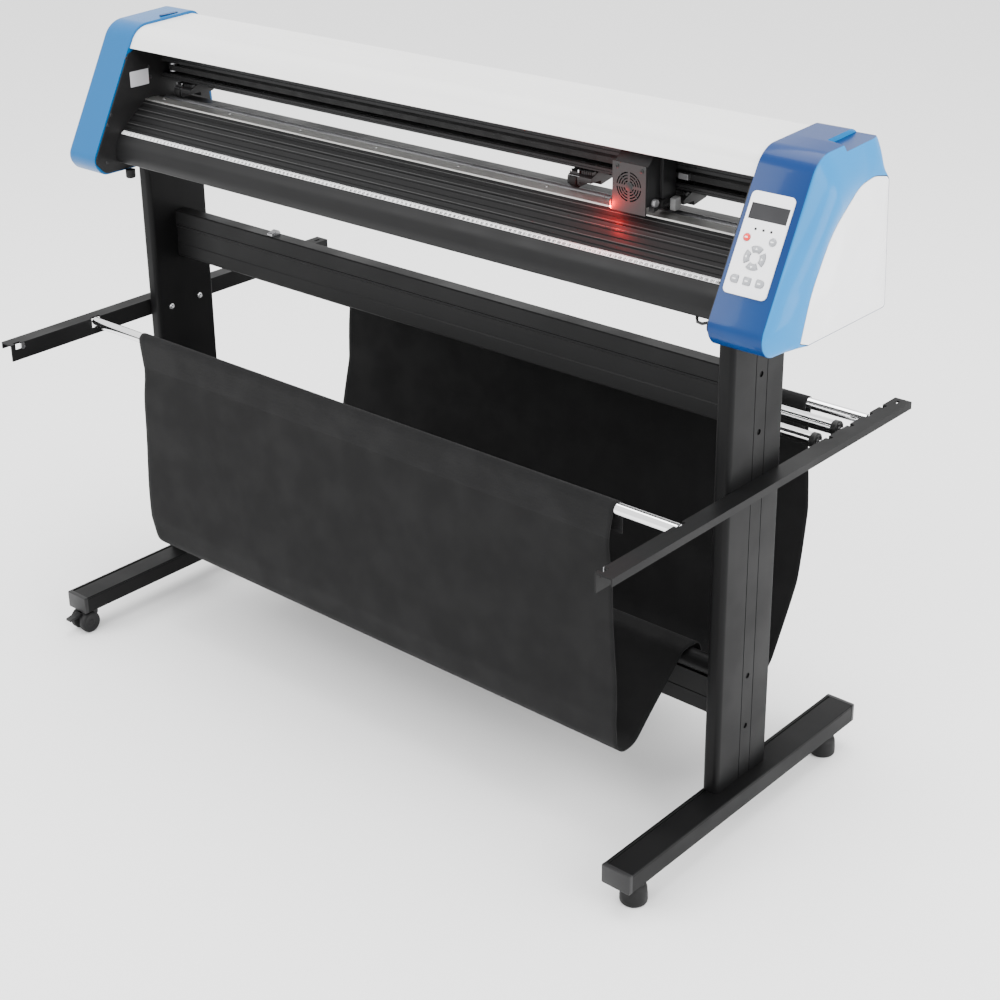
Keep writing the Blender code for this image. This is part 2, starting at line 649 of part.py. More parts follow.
def build_carriage(mats):
    x0, x1 = HEAD_X
    outline = [(-76.2, 1064), (-76.2, 1127), (-60, 1141.5), (-10, 1141.5), (-10, 1104),
               (-6, 1104), (-6, 1098), (-10, 1098), (-10, 1071), (-34, 1071), (-34, 1064)]
    head = solid("carriage_body", *prism(outline, x0, x1, "X"), mats["black"])
    tx, ty = TOOL
    low_bay = box((x0 - 5, -61, 1055), (x0 + 20, -24, 1085))
    high_bay = box((x0 - 5, -61, 1100), (x0 + 20, -24, 1120))
    clamp_bore = cylinder((tx, ty), 6.6, 1080, 1105, "Z", 20)
    pocket = cylinder(FAN_CENTRE, FAN_RADIUS + 1.5, -80, -66, "Y", 32)
    cut(head, low_bay, "tool_bay_low")
    cut(head, high_bay, "tool_bay_high")
    cut(head, clamp_bore, "tool_bore")
    cut(head, pocket, "fan_pocket")
    profile = [(1049.6, 0.8), (1053, 1.2), (1054, 4), (1058, 6), (1108, 6), (1110, 4.5), (1114, 4.5)]
    solid("tool_holder", *turned(profile, TOOL, "Z", 20), mats["silver"], (tx, ty, 1050), smooth=True)


def arc_slot(centre, radius, width, start, sweep, low, high):
    """A curved slot cutter across Y, round a centre in the X-Z plane."""
    outline = []
    for r, way in ((radius - width / 2, 1), (radius + width / 2, -1)):
        for k in range(7):
            turn = start + sweep * (k if way > 0 else 6 - k) / 6
            outline.append((centre[0] + r * math.cos(turn), centre[1] + r * math.sin(turn)))
    return prism(outline, low, high, "Y")


def build_fan(mats):
    x0, x1 = HEAD_X[0] - 2, HEAD_X[1] - 1
    cover = solid("fan_cover", *box((x0, -79.5, 1050.5), (x1, -76.5, 1128.3)), mats["black"])
    slots = []
    for radius in (9, 13.5, 18, 22.5):
        for quarter in range(4):
            start = math.radians(90 * quarter) + 2.2 / radius
            sweep = math.radians(90) - 4.4 / radius
            slots.append(arc_slot(FAN_CENTRE, radius, 2.2, start, sweep, -90, -70))
    cut(cover, join(*slots), "grille_slots")
    outline = []
    for blade in range(7):
        base = 2 * math.pi * blade / 7
        for shift, radius in ((0.0, 8), (0.06, 20), (0.5, 20), (0.6, 8)):
            turn = base + shift
            outline.append((FAN_CENTRE[0] + radius * math.cos(turn),
                            FAN_CENTRE[1] + radius * math.sin(turn)))
    rotor = prism(outline, -75.2, -67, "Y")
    solid("fan_rotor", *rotor, mats["black"], (FAN_CENTRE[0], -71, FAN_CENTRE[1]))


# ---------------------------------------------------------------- keypad

PANEL_X = (697.2, 770.2)
PANEL_S = (61.3, 213.5)
DISPLAY = (703.0, 172.6, 766.3, 195.6)
PANEL_OUT = (0.3, 2.6)


def rounded(x, s, half_x, half_s, radius):
    corners = [(x - half_x, s - half_s, radius), (x + half_x, s - half_s, radius),
               (x + half_x, s + half_s, radius), (x - half_x, s + half_s, radius)]
    return fillet(corners, step=30)


def disc(x, s, radius, sides=16):
    return [(x + radius * math.cos(2 * math.pi * k / sides),
             s + radius * math.sin(2 * math.pi * k / sides)) for k in range(sides)]


def petal(x, s, facing):
    """One arrow key of the ring, a curved bar round the ring's centre."""
    outline = []
    for radius, way in ((9.0, 1), (17.5, -1)):
        for k in range(6):
            share = k if way > 0 else 5 - k
            turn = facing + math.radians(-33 + 66 * share / 5)
            outline.append((x + radius * math.cos(turn), s + radius * math.sin(turn)))
    return outline


def d_key(x, s, side):
    """A key that is square on one side and round on the other."""
    corners = [(x - 6.5 * side, s - 5.5, 1.5), (x + 6.5 * side, s - 5.5, 5.3),
               (x + 6.5 * side, s + 5.5, 5.3), (x - 6.5 * side, s + 5.5, 1.5)]
    return fillet(corners, step=30)


def keys():
    ring = (733.5, 117.8)
    quarter = math.pi / 2
    return {"stop_button": disc(711, 144.8, 5.5),
            "menu_button": disc(754.3, 145.2, 5.5),
            "up_button": petal(*ring, quarter),
            "left_button": petal(*ring, 2 * quarter),
            "down_button": petal(*ring, 3 * quarter),
            "right_button": petal(*ring, 0.0),
            "reset_button": d_key(711.3, 83.3, -1),
            "enter_button": rounded(732.8, 83.3, 6.0, 5.5, 1.2),
            "pause_button": d_key(754.4, 83.6, 1)}


def face_prism(outline, low, high):
    return skin([[on_face(x, s, low) for x, s in outline],
                 [on_face(x, s, high) for x, s in outline]])


def grow(outline, distance):
    return inset(outline, -distance)


def build_keypad(mats):
    mid_x, mid_s = sum(PANEL_X) / 2, sum(PANEL_S) / 2
    outline = rounded(mid_x, mid_s, (PANEL_X[1] - PANEL_X[0]) / 2, (PANEL_S[1] - PANEL_S[0]) / 2, 8)
    panel = solid("keypad_panel", *face_prism(outline, *PANEL_OUT), mats["white"])
    x0, s0, x1, s1 = DISPLAY
    window = [(x0, s0), (x1, s0), (x1, s1), (x0, s1)]
    holes = [face_prism(grow(window, GAP), -1, 6)]
    for outline in keys().values():
        holes.append(face_prism(grow(outline, 0.5), -1, 6))
    cut(panel, join(*holes), "panel_holes")
    solid("display_window", *face_prism(window, 0.3, 2.3), mats["screen"])
    for name, outline in keys().items():
        mid = np.mean(np.array(outline), axis=0)
        mat = mats["red"] if name == "stop_button" else mats["grey"]
        key = face_prism(outline, 1.3, 3.8)
        solid(name, *key, mat, on_face(mid[0], mid[1], 1.3))


# ---------------------------------------------------------------- electrics

def build_electrics(mats):
    solid("main_board", *box((764, -60, 950), (765.6, 100, 1096)), mats["board"])
    solid("power_supply", *box((-806, -70, 940), (-750, 84, 1034)), mats["steel"])
    inlet = solid("power_inlet", *box((-790, 96, 950), (-762, 122.4, 974)), mats["black"])
    cut(inlet, box((-787, 104, 953), (-765, 130, 971)), "inlet_socket")


# ---------------------------------------------------------------- casters

def build_caster(end, y, trail, mats):
    """A twin-wheel caster: a swivel fork between two wheels on one axle."""
    x = LEFT_POST_X + FOOT_WIDTH / 2
    axle_y = y + trail
    top = FOOT_Z[0] - GAP
    fork = solid(f"caster_{end}_fork", *cylinder((x, y), 17.0, 45.5, top, "Z", 24),
                 mats["black"], (x, y, 0))
    ways = sorted((y - math.copysign(9, trail), axle_y + math.copysign(10, trail)))
    leg = box((x - 7, ways[0], 14), (x + 7, ways[1], 47))
    cut(fork, leg, f"{end}_leg", "UNION")
    bore = cylinder((axle_y, WHEEL_RADIUS), 4.5, x - 12, x + 12, "X", 16)
    cut(fork, bore, f"{end}_bore")
    r = WHEEL_RADIUS
    profile = [(x - 22, 9), (x - 22, r - 4), (x - 19, r), (x - 10, r), (x - 8, r - 2), (x - 8, 4),
               (x + 8, 4), (x + 8, r - 2), (x + 10, r), (x + 19, r), (x + 22, r - 4), (x + 22, 9)]
    shape = turned(profile, (axle_y, r), "X", 24)
    solid(f"caster_{end}_wheels", *shape, mats["rubber"], (x, axle_y, r), smooth=True)


def build_brake(mats):
    """A foot lever on the front caster, hinged on the fork between the wheels."""
    x = LEFT_POST_X + FOOT_WIDTH / 2
    py, pz = BRAKE_PIVOT
    barrel = []
    for k in range(6):
        turn = math.radians(100 - 40 * k)
        barrel.append((py + 4 * math.cos(turn), pz + 4 * math.sin(turn)))
    lever = [(py - 13, pz - 3.5), (py - 26, pz - 5), (py - 28, pz - 1), (py - 14, pz + 2.5)]
    shape = prism(barrel + lever, x - 7.4, x + 7.4, "X")
    solid("caster_brake", *shape, mats["black"], (x, py, pz))


# ---------------------------------------------------------------- assembly

def build():
    clear_scene()
    mats = {
        "black": material("black_anodised", (0.022, 0.022, 0.024), 0.42, 0.3),
        "azure": material("azure_plastic", (0.05, 0.38, 0.74), 0.25),
        "blue": material("blue_plastic", (0.02, 0.19, 0.52), 0.2),
        "white": material("white_plastic", (0.88, 0.88, 0.89), 0.3),
        "cloth": material("black_cloth", (0.018, 0.018, 0.019), 0.95),
        "chrome": material("chrome", (0.86, 0.86, 0.87), 0.08, 1.0),
        "silver": material("satin_aluminium", (0.72, 0.73, 0.74), 0.3, 1.0),
        "steel": material("steel", (0.5, 0.5, 0.52), 0.35, 1.0),
        "rubber": material("black_rubber", (0.02, 0.02, 0.02), 0.75),
        "screen": material("display", (0.08, 0.1, 0.2), 0.12),
        "red": material("red_plastic", (0.75, 0.05, 0.04), 0.35),
        "grey": material("grey_plastic", (0.72, 0.73, 0.75), 0.4),
        "board": material("circuit_board", (0.03, 0.2, 0.08), 0.5),
    }
    build_foot("left_foot", LEFT_POST_X, mats)
    build_foot("right_foot", RIGHT_POST_X, mats)
    foot_x = RIGHT_POST_X + FOOT_WIDTH / 2
    build_rubber_foot("rubber_foot_front", foot_x, -304.7, mats)
    build_rubber_foot("rubber_foot_rear", foot_x, 251.8, mats)
    build_post("left_post", LEFT_POST_X, -1, mats)
    build_post("right_post", RIGHT_POST_X, 1, mats)
    build_beams(mats)
    build_arm("left_arm", -1, mats)
    build_arm("right_arm", 1, mats)
    build_bars_and_rollers(mats)
    build_basket(mats)
    build_platform(mats)
    build_side_plates(mats)
    build_left_cap(mats)
    build_right_cap(mats)
    build_right_cover(mats)
    build_hood(mats)
    build_carriage_beam(mats)
    build_belt_drive(mats)
    build_feed(mats)
    for number, x in enumerate(PINCH_X, 1):
        build_pinch(number, x, mats)
    build_carriage(mats)
    build_fan(mats)
    build_keypad(mats)
    build_electrics(mats)
    build_caster("front", CASTER_Y[0], -CASTER_TRAIL, mats)
    build_caster("rear", CASTER_Y[1], CASTER_TRAIL, mats)
    build_brake(mats)


build()
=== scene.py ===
"""Looks of the roll-fed cutter: its painted end caps, white hood, black extrusions, chrome
bars, cloth basket and keypad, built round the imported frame.

Lengths in the shape functions are millimetres in the machine's own frame: X along it,
Y to its back, Z up. They become metres when a mesh is made.
"""

import math

import bmesh
import bpy
import numpy as np
from mathutils import Matrix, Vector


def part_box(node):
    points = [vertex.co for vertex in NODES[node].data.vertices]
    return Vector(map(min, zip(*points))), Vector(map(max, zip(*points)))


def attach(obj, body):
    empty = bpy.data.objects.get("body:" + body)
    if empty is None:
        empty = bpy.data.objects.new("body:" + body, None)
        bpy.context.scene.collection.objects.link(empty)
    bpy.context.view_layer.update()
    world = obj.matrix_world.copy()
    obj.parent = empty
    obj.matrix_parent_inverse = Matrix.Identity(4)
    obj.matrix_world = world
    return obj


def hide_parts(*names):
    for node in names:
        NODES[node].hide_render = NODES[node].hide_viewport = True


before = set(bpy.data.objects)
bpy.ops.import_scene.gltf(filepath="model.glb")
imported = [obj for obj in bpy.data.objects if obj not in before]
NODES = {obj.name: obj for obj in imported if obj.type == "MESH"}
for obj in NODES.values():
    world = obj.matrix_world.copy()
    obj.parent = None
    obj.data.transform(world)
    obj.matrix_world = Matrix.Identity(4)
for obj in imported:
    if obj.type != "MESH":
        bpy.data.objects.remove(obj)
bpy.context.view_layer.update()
MM = 0.001


def span(node):
    """A node's lowest and highest corners, in millimetres."""
    low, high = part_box(node)
    return np.array(low) / MM, np.array(high) / MM


# ------------------------------------------------------------------ shader maths

class Number:
    """A number that varies over a surface. Arithmetic on it adds Math nodes."""

    def __init__(self, finish, socket):
        self.finish, self.socket = finish, socket

    def maths(self, operation, *values):
        """One Math node on these values, which may be numbers or Numbers."""
        made = self.finish.node("ShaderNodeMath", {"operation": operation}, dict(enumerate(values)))
        return Number(self.finish, made.outputs[0])

    def __add__(self, other):
        return self.maths("ADD", self, other)

    def __sub__(self, other):
        return self.maths("SUBTRACT", self, other)

    def __rsub__(self, other):
        return self.maths("SUBTRACT", other, self)

    def __mul__(self, other):
        return self.maths("MULTIPLY", self, other)

    def __abs__(self):
        return self.maths("ABSOLUTE", self)

    def __mod__(self, period):
        return self.maths("FLOORED_MODULO", self, period)

    def __rmod__(self, other):
        return self.maths("FLOORED_MODULO", other, self)

    def sine(self):
        """Its sine, in radians."""
        return self.maths("SINE", self)

    def below(self, limit):
        """One where it is under the limit, else nought."""
        return self.maths("LESS_THAN", self, limit)

    def above(self, limit):
        """One where it is over the limit, else nought."""
        return self.maths("GREATER_THAN", self, limit)

    def ramp(self, low, high, start=0.0, end=1.0):
        """Runs smoothly from start to end as the number goes from low to high."""
        values = {"Value": self, "From Min": low, "From Max": high, "To Min": start, "To Max": end}
        made = self.finish.node("ShaderNodeMapRange", {"interpolation_type": "SMOOTHSTEP"}, values)
        return Number(self.finish, made.outputs["Result"])

    __radd__ = __add__
    __rmul__ = __mul__


class Finish:
    """A material on one Principled shader, with the nodes that vary it."""

    def __init__(self, name, colour, roughness, metallic=0.0, **fixed):
        self.material = bpy.data.materials.new(name)
        self.material.use_nodes = True
        self.tree = self.material.node_tree
        self.shader = self.tree.nodes["Principled BSDF"]
        self.colour = (*colour, 1.0)
        self.set("Base Color", self.colour)
        self.set("Roughness", roughness)
        self.set("Metallic", metallic)
        for socket, value in fixed.items():
            self.set(socket.replace("_", " "), value)

    def set(self, socket, value):
        """Gives one of the shader's sockets a value or a link."""
        self.feed(self.shader.inputs[socket], value)

    def feed(self, socket, value):
        """Links a Number or a socket to a socket, or sets its plain value."""
        if isinstance(value, Number):
            value = value.socket
        if isinstance(value, bpy.types.NodeSocket):
            self.tree.links.new(value, socket)
        else:
            socket.default_value = value

    def node(self, kind, settings, values):
        """Adds a node: its settings first, then the values or links of its sockets."""
        made = self.tree.nodes.new(kind)
        for key, value in settings.items():
            setattr(made, key, value)
        for key, value in values.items():
            self.feed(made.inputs[key], value)
        return made

    def place(self, scale=(1, 1, 1), source="Object"):
        """Coordinates on the piece, stretched by scale."""
        coordinates = self.node("ShaderNodeTexCoord", {}, {}).outputs[source]
        return self.node("ShaderNodeMapping", {}, {"Vector": coordinates, "Scale": scale}).outputs[0]

    def axis(self, letter, source="Object"):
        """One coordinate on the piece."""
        made = self.node("ShaderNodeSeparateXYZ", {}, {"Vector": self.place(source=source)})
        return Number(self, made.outputs[letter])

    def facing(self, letter):
        """How far the surface faces along an axis, from -1 to 1."""
        normal = self.node("ShaderNodeNewGeometry", {}, {}).outputs["Normal"]
        made = self.node("ShaderNodeSeparateXYZ", {}, {"Vector": normal})
        return Number(self, made.outputs[letter])

    def noise(self, scale, stretch=(1, 1, 1), detail=3.0, source="Object"):
        """Fractal noise from 0 to 1, stretched along the axes."""
        values = {"Vector": self.place(stretch, source), "Scale": scale, "Detail": detail}
        return Number(self, self.node("ShaderNodeTexNoise", {}, values).outputs["Fac"])

    def blend(self, share, first, second):
        """A colour between two colours, by share."""
        made = self.node("ShaderNodeMix", {"data_type": "RGBA"}, {})
        sockets = {s.identifier: s for s in made.inputs}
        self.feed(sockets["Factor_Float"], share)
        self.feed(sockets["A_Color"], (*first, 1.0))
        self.feed(sockets["B_Color"], (*second, 1.0))
        return next(s for s in made.outputs if s.identifier == "Result_Color")

    def shade(self, share, low=0.8, high=1.2):
        """Varies the base colour between darker and lighter by share."""
        dark = [c * low for c in self.colour[:3]]
        light = [min(1.0, c * high) for c in self.colour[:3]]
        self.set("Base Color", self.blend(share, dark, light))

    def bump(self, height, distance, strength=1.0):
        """Fine relief, with its distance in metres."""
        values = {"Height": height, "Distance": distance, "Strength": strength}
        self.set("Normal", self.node("ShaderNodeBump", {}, values).outputs["Normal"])


# ------------------------------------------------------------------ finishes

def lengthwise(along, coarse, fine):
    """A noise stretch that draws streaks along one axis."""
    return tuple(coarse if letter == along else fine for letter in "XYZ")


def extrusion(name, colour, along, roughness=0.42, metallic=0.0):
    """Black anodised or powder-coated aluminium, with faint die lines along its length."""
    made = Finish(name, colour, roughness, metallic, Specular_IOR_Level=0.1)
    lines = made.noise(1.0, lengthwise(along, 3, 700), 2.0)
    grain = made.noise(2600.0)
    wear = made.noise(9.0)
    made.shade(lines * 0.5 + wear * 0.5, 0.78, 1.22)
    made.set("Roughness", wear.ramp(0.3, 0.7, roughness - 0.06, roughness + 0.08))
    made.bump(lines * 0.6 + grain * 0.4, 0.00006, 0.35)
    return made.material


def plastic(name, colour, roughness, grain=0.00003, coat=0.0):
    """Moulded plastic with a fine spark-eroded grain."""
    made = Finish(name, colour, roughness, Coat_Weight=coat, Coat_Roughness=0.08,
                  Specular_IOR_Level=0.3)
    cloud = made.noise(14.0)
    made.shade(cloud, 0.93, 1.07)
    made.set("Roughness", cloud.ramp(0.3, 0.7, roughness * 0.88, roughness * 1.15))
    made.bump(made.noise(1900.0), grain, 0.5)
    return made.material


def metal(name, colour, roughness, metallic=1.0):
    """Bare or plated metal with streaks along X."""
    made = Finish(name, colour, roughness, metallic)
    streak = made.noise(1.0, lengthwise("X", 4, 900), 2.0)
    made.shade(streak, 0.94, 1.04)
    made.set("Roughness", streak.ramp(0.25, 0.75, roughness * 0.7, roughness * 1.5))
    made.bump(streak, 0.000002, 0.3)
    return made.material


def cap_paint(name, deep, bright, low, high):
    """Blue pearl paint with painted light and shade: the base colour runs from deep to bright as the
    surface turns towards +X, between low and high. On the right cap the faces that look forward and up are
    deep, as painted shade, and the side is brighter, as painted light.
    """
    made = Finish(name, bright, 0.3, Coat_Weight=0.12, Coat_Roughness=0.08,
                  Specular_IOR_Level=0.15)
    # Painted light and shade: the share of the bright blue follows which way the surface faces along X.
    side = made.facing("X").ramp(low, high)
    flake = made.noise(3200.0, detail=1.0)
    lift = made.noise(6.0).ramp(0.3, 0.7, -0.05, 0.05)
    made.set("Base Color", made.blend(side + lift, deep, bright))
    made.set("Roughness", flake.ramp(0.2, 0.8, 0.24, 0.36))
    made.bump(flake, 0.00001, 0.12)
    return made.material


def painted_sheet():
    """White powder-coated sheet steel: a very fine orange peel and faint handling marks."""
    made = Finish("white_sheet", (0.8, 0.8, 0.79), 0.3, Coat_Weight=0.25, Coat_Roughness=0.12)
    cloud = made.noise(3.0, (1, 4, 4))
    made.shade(cloud, 0.97, 1.03)
    made.set("Roughness", cloud.ramp(0.3, 0.7, 0.24, 0.36))
    made.bump(made.noise(420.0), 0.00003, 0.25)
    return made.material


THREAD_PITCH, STITCH_PITCH, STITCH_LENGTH, STITCH_HALF_WIDTH = 0.0013, 0.0042, 0.0028, 0.0007


def basket_cloth():
    """Black plain-woven cloth: the weave is the product of two sines, one thread each way, with a
    dashed stitch line at each hem's edge. UV is the flat cloth in metres."""
    made = Finish("basket_cloth", (0.0042, 0.0042, 0.0044), 0.92, Sheen_Weight=0.02,
                  Sheen_Roughness=0.5, Specular_IOR_Level=0.2)
    across, down = made.axis("X", "UV"), made.axis("Y", "UV")
    turns = 2 * math.pi / THREAD_PITCH
    weave = (across * turns).sine() * (down * turns).sine()
    fuzz = made.noise(900.0)
    cloud = made.noise(16.0, detail=5.0)
    dash = (across % STITCH_PITCH).below(STITCH_LENGTH)
    far_hem = CLOTH_LENGTH - HEM
    stitch = abs(down - HEM).below(STITCH_HALF_WIDTH) * dash
    stitch = stitch + abs(down - far_hem).below(STITCH_HALF_WIDTH) * dash
    doubled = down.below(HEM) + down.above(far_hem)
    ripple = made.noise(1.0, (26, 420, 1), 4.0, "UV")
    tone = cloud * 0.35 + weave * 0.12 + fuzz * 0.2 + stitch * 0.5
    made.shade(tone + doubled * (0.25 + ripple * 0.7), 0.78, 1.38)
    made.set("Roughness", cloud.ramp(0.3, 0.7, 0.85, 0.98))
    relief = weave * 0.5 + fuzz * 0.5 + cloud * 1.2 + stitch * 1.5
    made.bump(relief + doubled * ripple * 5.0, 0.00025, 0.6)
    return made.material


def rubber(name, colour):
    """Matt rubber with a cloudy tone and a fine grain."""
    made = Finish(name, colour, 0.62, Specular_IOR_Level=0.25)
    cloud = made.noise(40.0)
    made.shade(cloud, 0.8, 1.25)
    made.set("Roughness", cloud.ramp(0.3, 0.7, 0.55, 0.72))
    made.bump(made.noise(1200.0), 0.00006, 0.5)
    return made.material


def glow(name, colour, strength):
    """A lit lens: one colour that gives off light."""
    made = Finish(name, colour, 0.3, Emission_Strength=strength)
    made.set("Emission Color", (*colour, 1.0))
    made.set("Roughness", made.noise(300.0).ramp(0.3, 0.7, 0.25, 0.35))
    return made.material


def display_glass():
    """A dark display behind its window, with faint rows of character cells."""
    made = Finish("display_glass", (0.02, 0.026, 0.085), 0.22, Coat_Weight=0.15, Coat_Roughness=0.05)
    cell_width, cell_height, gap_across, gap_up = 0.0036, 0.0085, 0.0006, 0.0012
    across = made.axis("X") % cell_width
    row = made.axis("Z") % cell_height
    cell = across.above(gap_across) * row.above(gap_up)
    made.shade(cell * 0.6 + made.noise(30.0) * 0.4, 0.8, 1.35)
    made.set("Roughness", made.noise(60.0).ramp(0.3, 0.7, 0.18, 0.28))
    return made.material


# ------------------------------------------------------------------ shapes

def grid_faces(rows, columns, wrap_rows=False, wrap_columns=False):
    """Quads between neighbouring points of a grid whose points are numbered row by row."""
    i = np.arange(rows if wrap_rows else rows - 1)[:, None]
    j = np.arange(columns if wrap_columns else columns - 1)[None, :]
    i2, j2 = (i + 1) % rows, (j + 1) % columns
    quads = np.stack([i * columns + j, i * columns + j2, i2 * columns + j2, i2 * columns + j], -1)
    return [tuple(q) for q in quads.reshape(-1, 4).tolist()]


def loft(rings, wrap=False):
    """Closed rings joined one to the next. Ends are flat faces; wrap joins the last to the first."""
    rings = np.asarray(rings, float)
    rows, columns = rings.shape[:2]
    faces = grid_faces(rows, columns, wrap, True)
    if not wrap:
        faces.append(tuple(range(columns))[::-1])
        faces.append(tuple(range((rows - 1) * columns, rows * columns)))
    return rings.reshape(-1, 3), faces


def lay(outline, level, axis):
    """Flat points put in space: (y, z) across X, (x, z) across Y or (x, y) across Z."""
    flat = np.asarray(outline, float)
    at = np.full(len(flat), float(level))
    a, b = flat[:, 0], flat[:, 1]
    return np.stack({"X": (at, a, b), "Y": (a, at, b), "Z": (a, b, at)}[axis], 1)


def extrude(outline, low, high, axis="X"):
    """A flat outline carried straight along an axis from low to high."""
    return loft([lay(outline, low, axis), lay(outline, high, axis)])


def block(low, high):
    """The box between two corners: its rectangle carried along Z."""
    (x0, y0, z0), (x1, y1, z1) = low, high
    return extrude([(x0, y0), (x1, y0), (x1, y1), (x0, y1)], z0, z1, "Z")


def circle(sides, radius=1.0, start=0.0):
    """Points at equal angles: radius times the cosine and the sine."""
    turn = start + 2 * np.pi * np.arange(sides) / sides
    return np.stack([radius * np.cos(turn), radius * np.sin(turn)], 1)


def turned(profile, centre, axis, sides=48):
    """A profile of (place along the axis, radius) turned round the axis."""
    ring = circle(sides)
    rings = [lay(ring * radius + np.array(centre), along, axis) for along, radius in profile]
    return loft(rings)


def together(*shapes):
    """Several shapes as one mesh."""
    points, faces, base = [], [], 0
    for part_points, part_faces in shapes:
        points.append(np.asarray(part_points, float))
        faces += [tuple(i + base for i in face) for face in part_faces]
        base += len(part_points)
    return np.concatenate(points), faces


def blocks(lows, highs, turn=None):
    """Many small boxes at once, from arrays of their low and high corners."""
    corner = np.array([[0, 0, 0], [1, 0, 0], [1, 1, 0], [0, 1, 0],
                       [0, 0, 1], [1, 0, 1], [1, 1, 1], [0, 1, 1]])
    side = np.array([[0, 3, 2, 1], [4, 5, 6, 7], [0, 1, 5, 4], [1, 2, 6, 5], [2, 3, 7, 6], [3, 0, 4, 7]])
    lows, highs = np.asarray(lows, float), np.asarray(highs, float)
    points = lows[:, None] + corner[None] * (highs - lows)[:, None]
    faces = side[None] + 8 * np.arange(len(lows))[:, None, None]
    points = points.reshape(-1, 3)
    if turn is not None:
        points = turn(points)
    return points, [tuple(f) for f in faces.reshape(-1, 4).tolist()]


def rounded(corners, closed=True, step=6.0):
    """An outline from corners (a, b, radius). Each corner becomes an arc that touches both sides:
    its centre lies on their bisector, at the radius over the sine of half the corner's angle."""
    points, count = [], len(corners)
    for i, corner in enumerate(corners):
        here = np.array(corner[:2], float)
        radius = corner[2] if len(corner) > 2 else 0.0
        if radius <= 0 or (not closed and i in (0, count - 1)):
            points.append(here[None])
            continue
        back = np.array(corners[i - 1][:2], float) - here
        ahead = np.array(corners[(i + 1) % count][:2], float) - here
        back, ahead = back / np.linalg.norm(back), ahead / np.linalg.norm(ahead)
        inner = math.acos(np.clip(back @ ahead, -1, 1))
        middle = (back + ahead) / np.linalg.norm(back + ahead)
        centre = here + middle * radius / math.sin(inner / 2)
        start = here + back * radius / math.tan(inner / 2) - centre
        way = 1.0 if start[1] * back[0] - start[0] * back[1] > 0 else -1.0
        turn = way * np.linspace(0, math.pi - inner, 2 + int(math.degrees(math.pi - inner) / step))
        c, s = np.cos(turn), np.sin(turn)
        points.append(centre + np.stack([start[0] * c - start[1] * s, start[0] * s + start[1] * c], 1))
    return np.concatenate(points)


def rounded_box(x, y, half_x, half_y, radius, step=15.0):
    """A rectangle about (x, y) with four equal corner arcs."""
    corners = [(x - half_x, y - half_y, radius), (x + half_x, y - half_y, radius),
               (x + half_x, y + half_y, radius), (x - half_x, y + half_y, radius)]
    return rounded(corners, step=step)


def inset(outline, distance):
    """Each point of a closed outline moved inwards along the bisector of its two edges."""
    pts = np.asarray(outline, float)
    ahead = np.roll(pts, -1, 0) - pts
    ahead /= np.linalg.norm(ahead, axis=1)[:, None]
    back = np.roll(ahead, 1, 0)
    area = np.sum(pts[:, 0] * np.roll(pts[:, 1], -1) - np.roll(pts[:, 0], -1) * pts[:, 1])
    normal = np.stack([-ahead[:, 1] - back[:, 1], ahead[:, 0] + back[:, 0]], 1) * np.sign(area)
    return pts + normal * (2 * distance / np.sum(normal ** 2, axis=1))[:, None]


def ribbon(path, thickness):
    """A closed outline round an open path, with its thickness to the path's right."""
    pts = np.asarray(path, float)
    edge = np.diff(pts, axis=0)
    edge /= np.linalg.norm(edge, axis=1)[:, None]
    total = np.vstack([edge[:1], edge]) + np.vstack([edge, edge[-1:]])
    normal = np.stack([total[:, 1], -total[:, 0]], 1)
    normal *= (2 / np.sum(normal ** 2, axis=1))[:, None]
    return np.vstack([pts, (pts + normal * thickness)[::-1]])


def pipe(path, radius, sides=12):
    """A round tube along a path, each ring square to the path there."""
    path = np.asarray(path, float)
    way = np.gradient(path, axis=0)
    way /= np.linalg.norm(way, axis=1)[:, None]
    side = np.cross(way, (0.12, 0.31, 0.94))
    side /= np.linalg.norm(side, axis=1)[:, None]
    up = np.cross(side, way)
    ring = circle(sides, radius)
    return loft(path[:, None] + ring[None, :, :1] * side[:, None] + ring[None, :, 1:] * up[:, None])


def mesh_of(name, shape, outward=True, weld=True):
    """A mesh in metres from points in millimetres, its faces turned outward and its points welded
    where that is asked for."""
    points, faces = shape
    mesh = bpy.data.meshes.new(name)
    mesh.from_pydata((np.asarray(points, float) * MM).tolist(), [], faces)
    if outward:
        work = bmesh.new()
        work.from_mesh(mesh)
        if weld:
            bmesh.ops.remove_doubles(work, verts=work.verts, dist=1e-7)
        bmesh.ops.recalc_face_normals(work, faces=work.faces)
        work.to_mesh(mesh)
        work.free()
    return mesh


def to_scene(name, data):
    """A new object that holds this data, linked to the scene."""
    obj = bpy.data.objects.new(name, data)
    bpy.context.scene.collection.objects.link(obj)
    return obj


def make(name, shape, material, body="machine", stands_for=(), bevel=0.0, sharp=38,
         clean=True):
    """A piece at the origin: its mesh in metres, its finish, the body it moves with, and the
    frame node it stands for."""
    mesh = mesh_of(name, shape, outward=clean)
    mesh.materials.append(material)
    mesh.shade_smooth()
    mesh.set_sharp_from_angle(angle=math.radians(sharp))
    obj = to_scene(name, mesh)
    if bevel:
        edge = obj.modifiers.new("edge", "BEVEL")
        edge.width, edge.segments = bevel * MM, 3
        edge.limit_method, edge.angle_limit = "ANGLE", math.radians(40)
        edge.harden_normals = True
    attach(obj, body)
    if stands_for:
        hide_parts(*stands_for)
    return obj


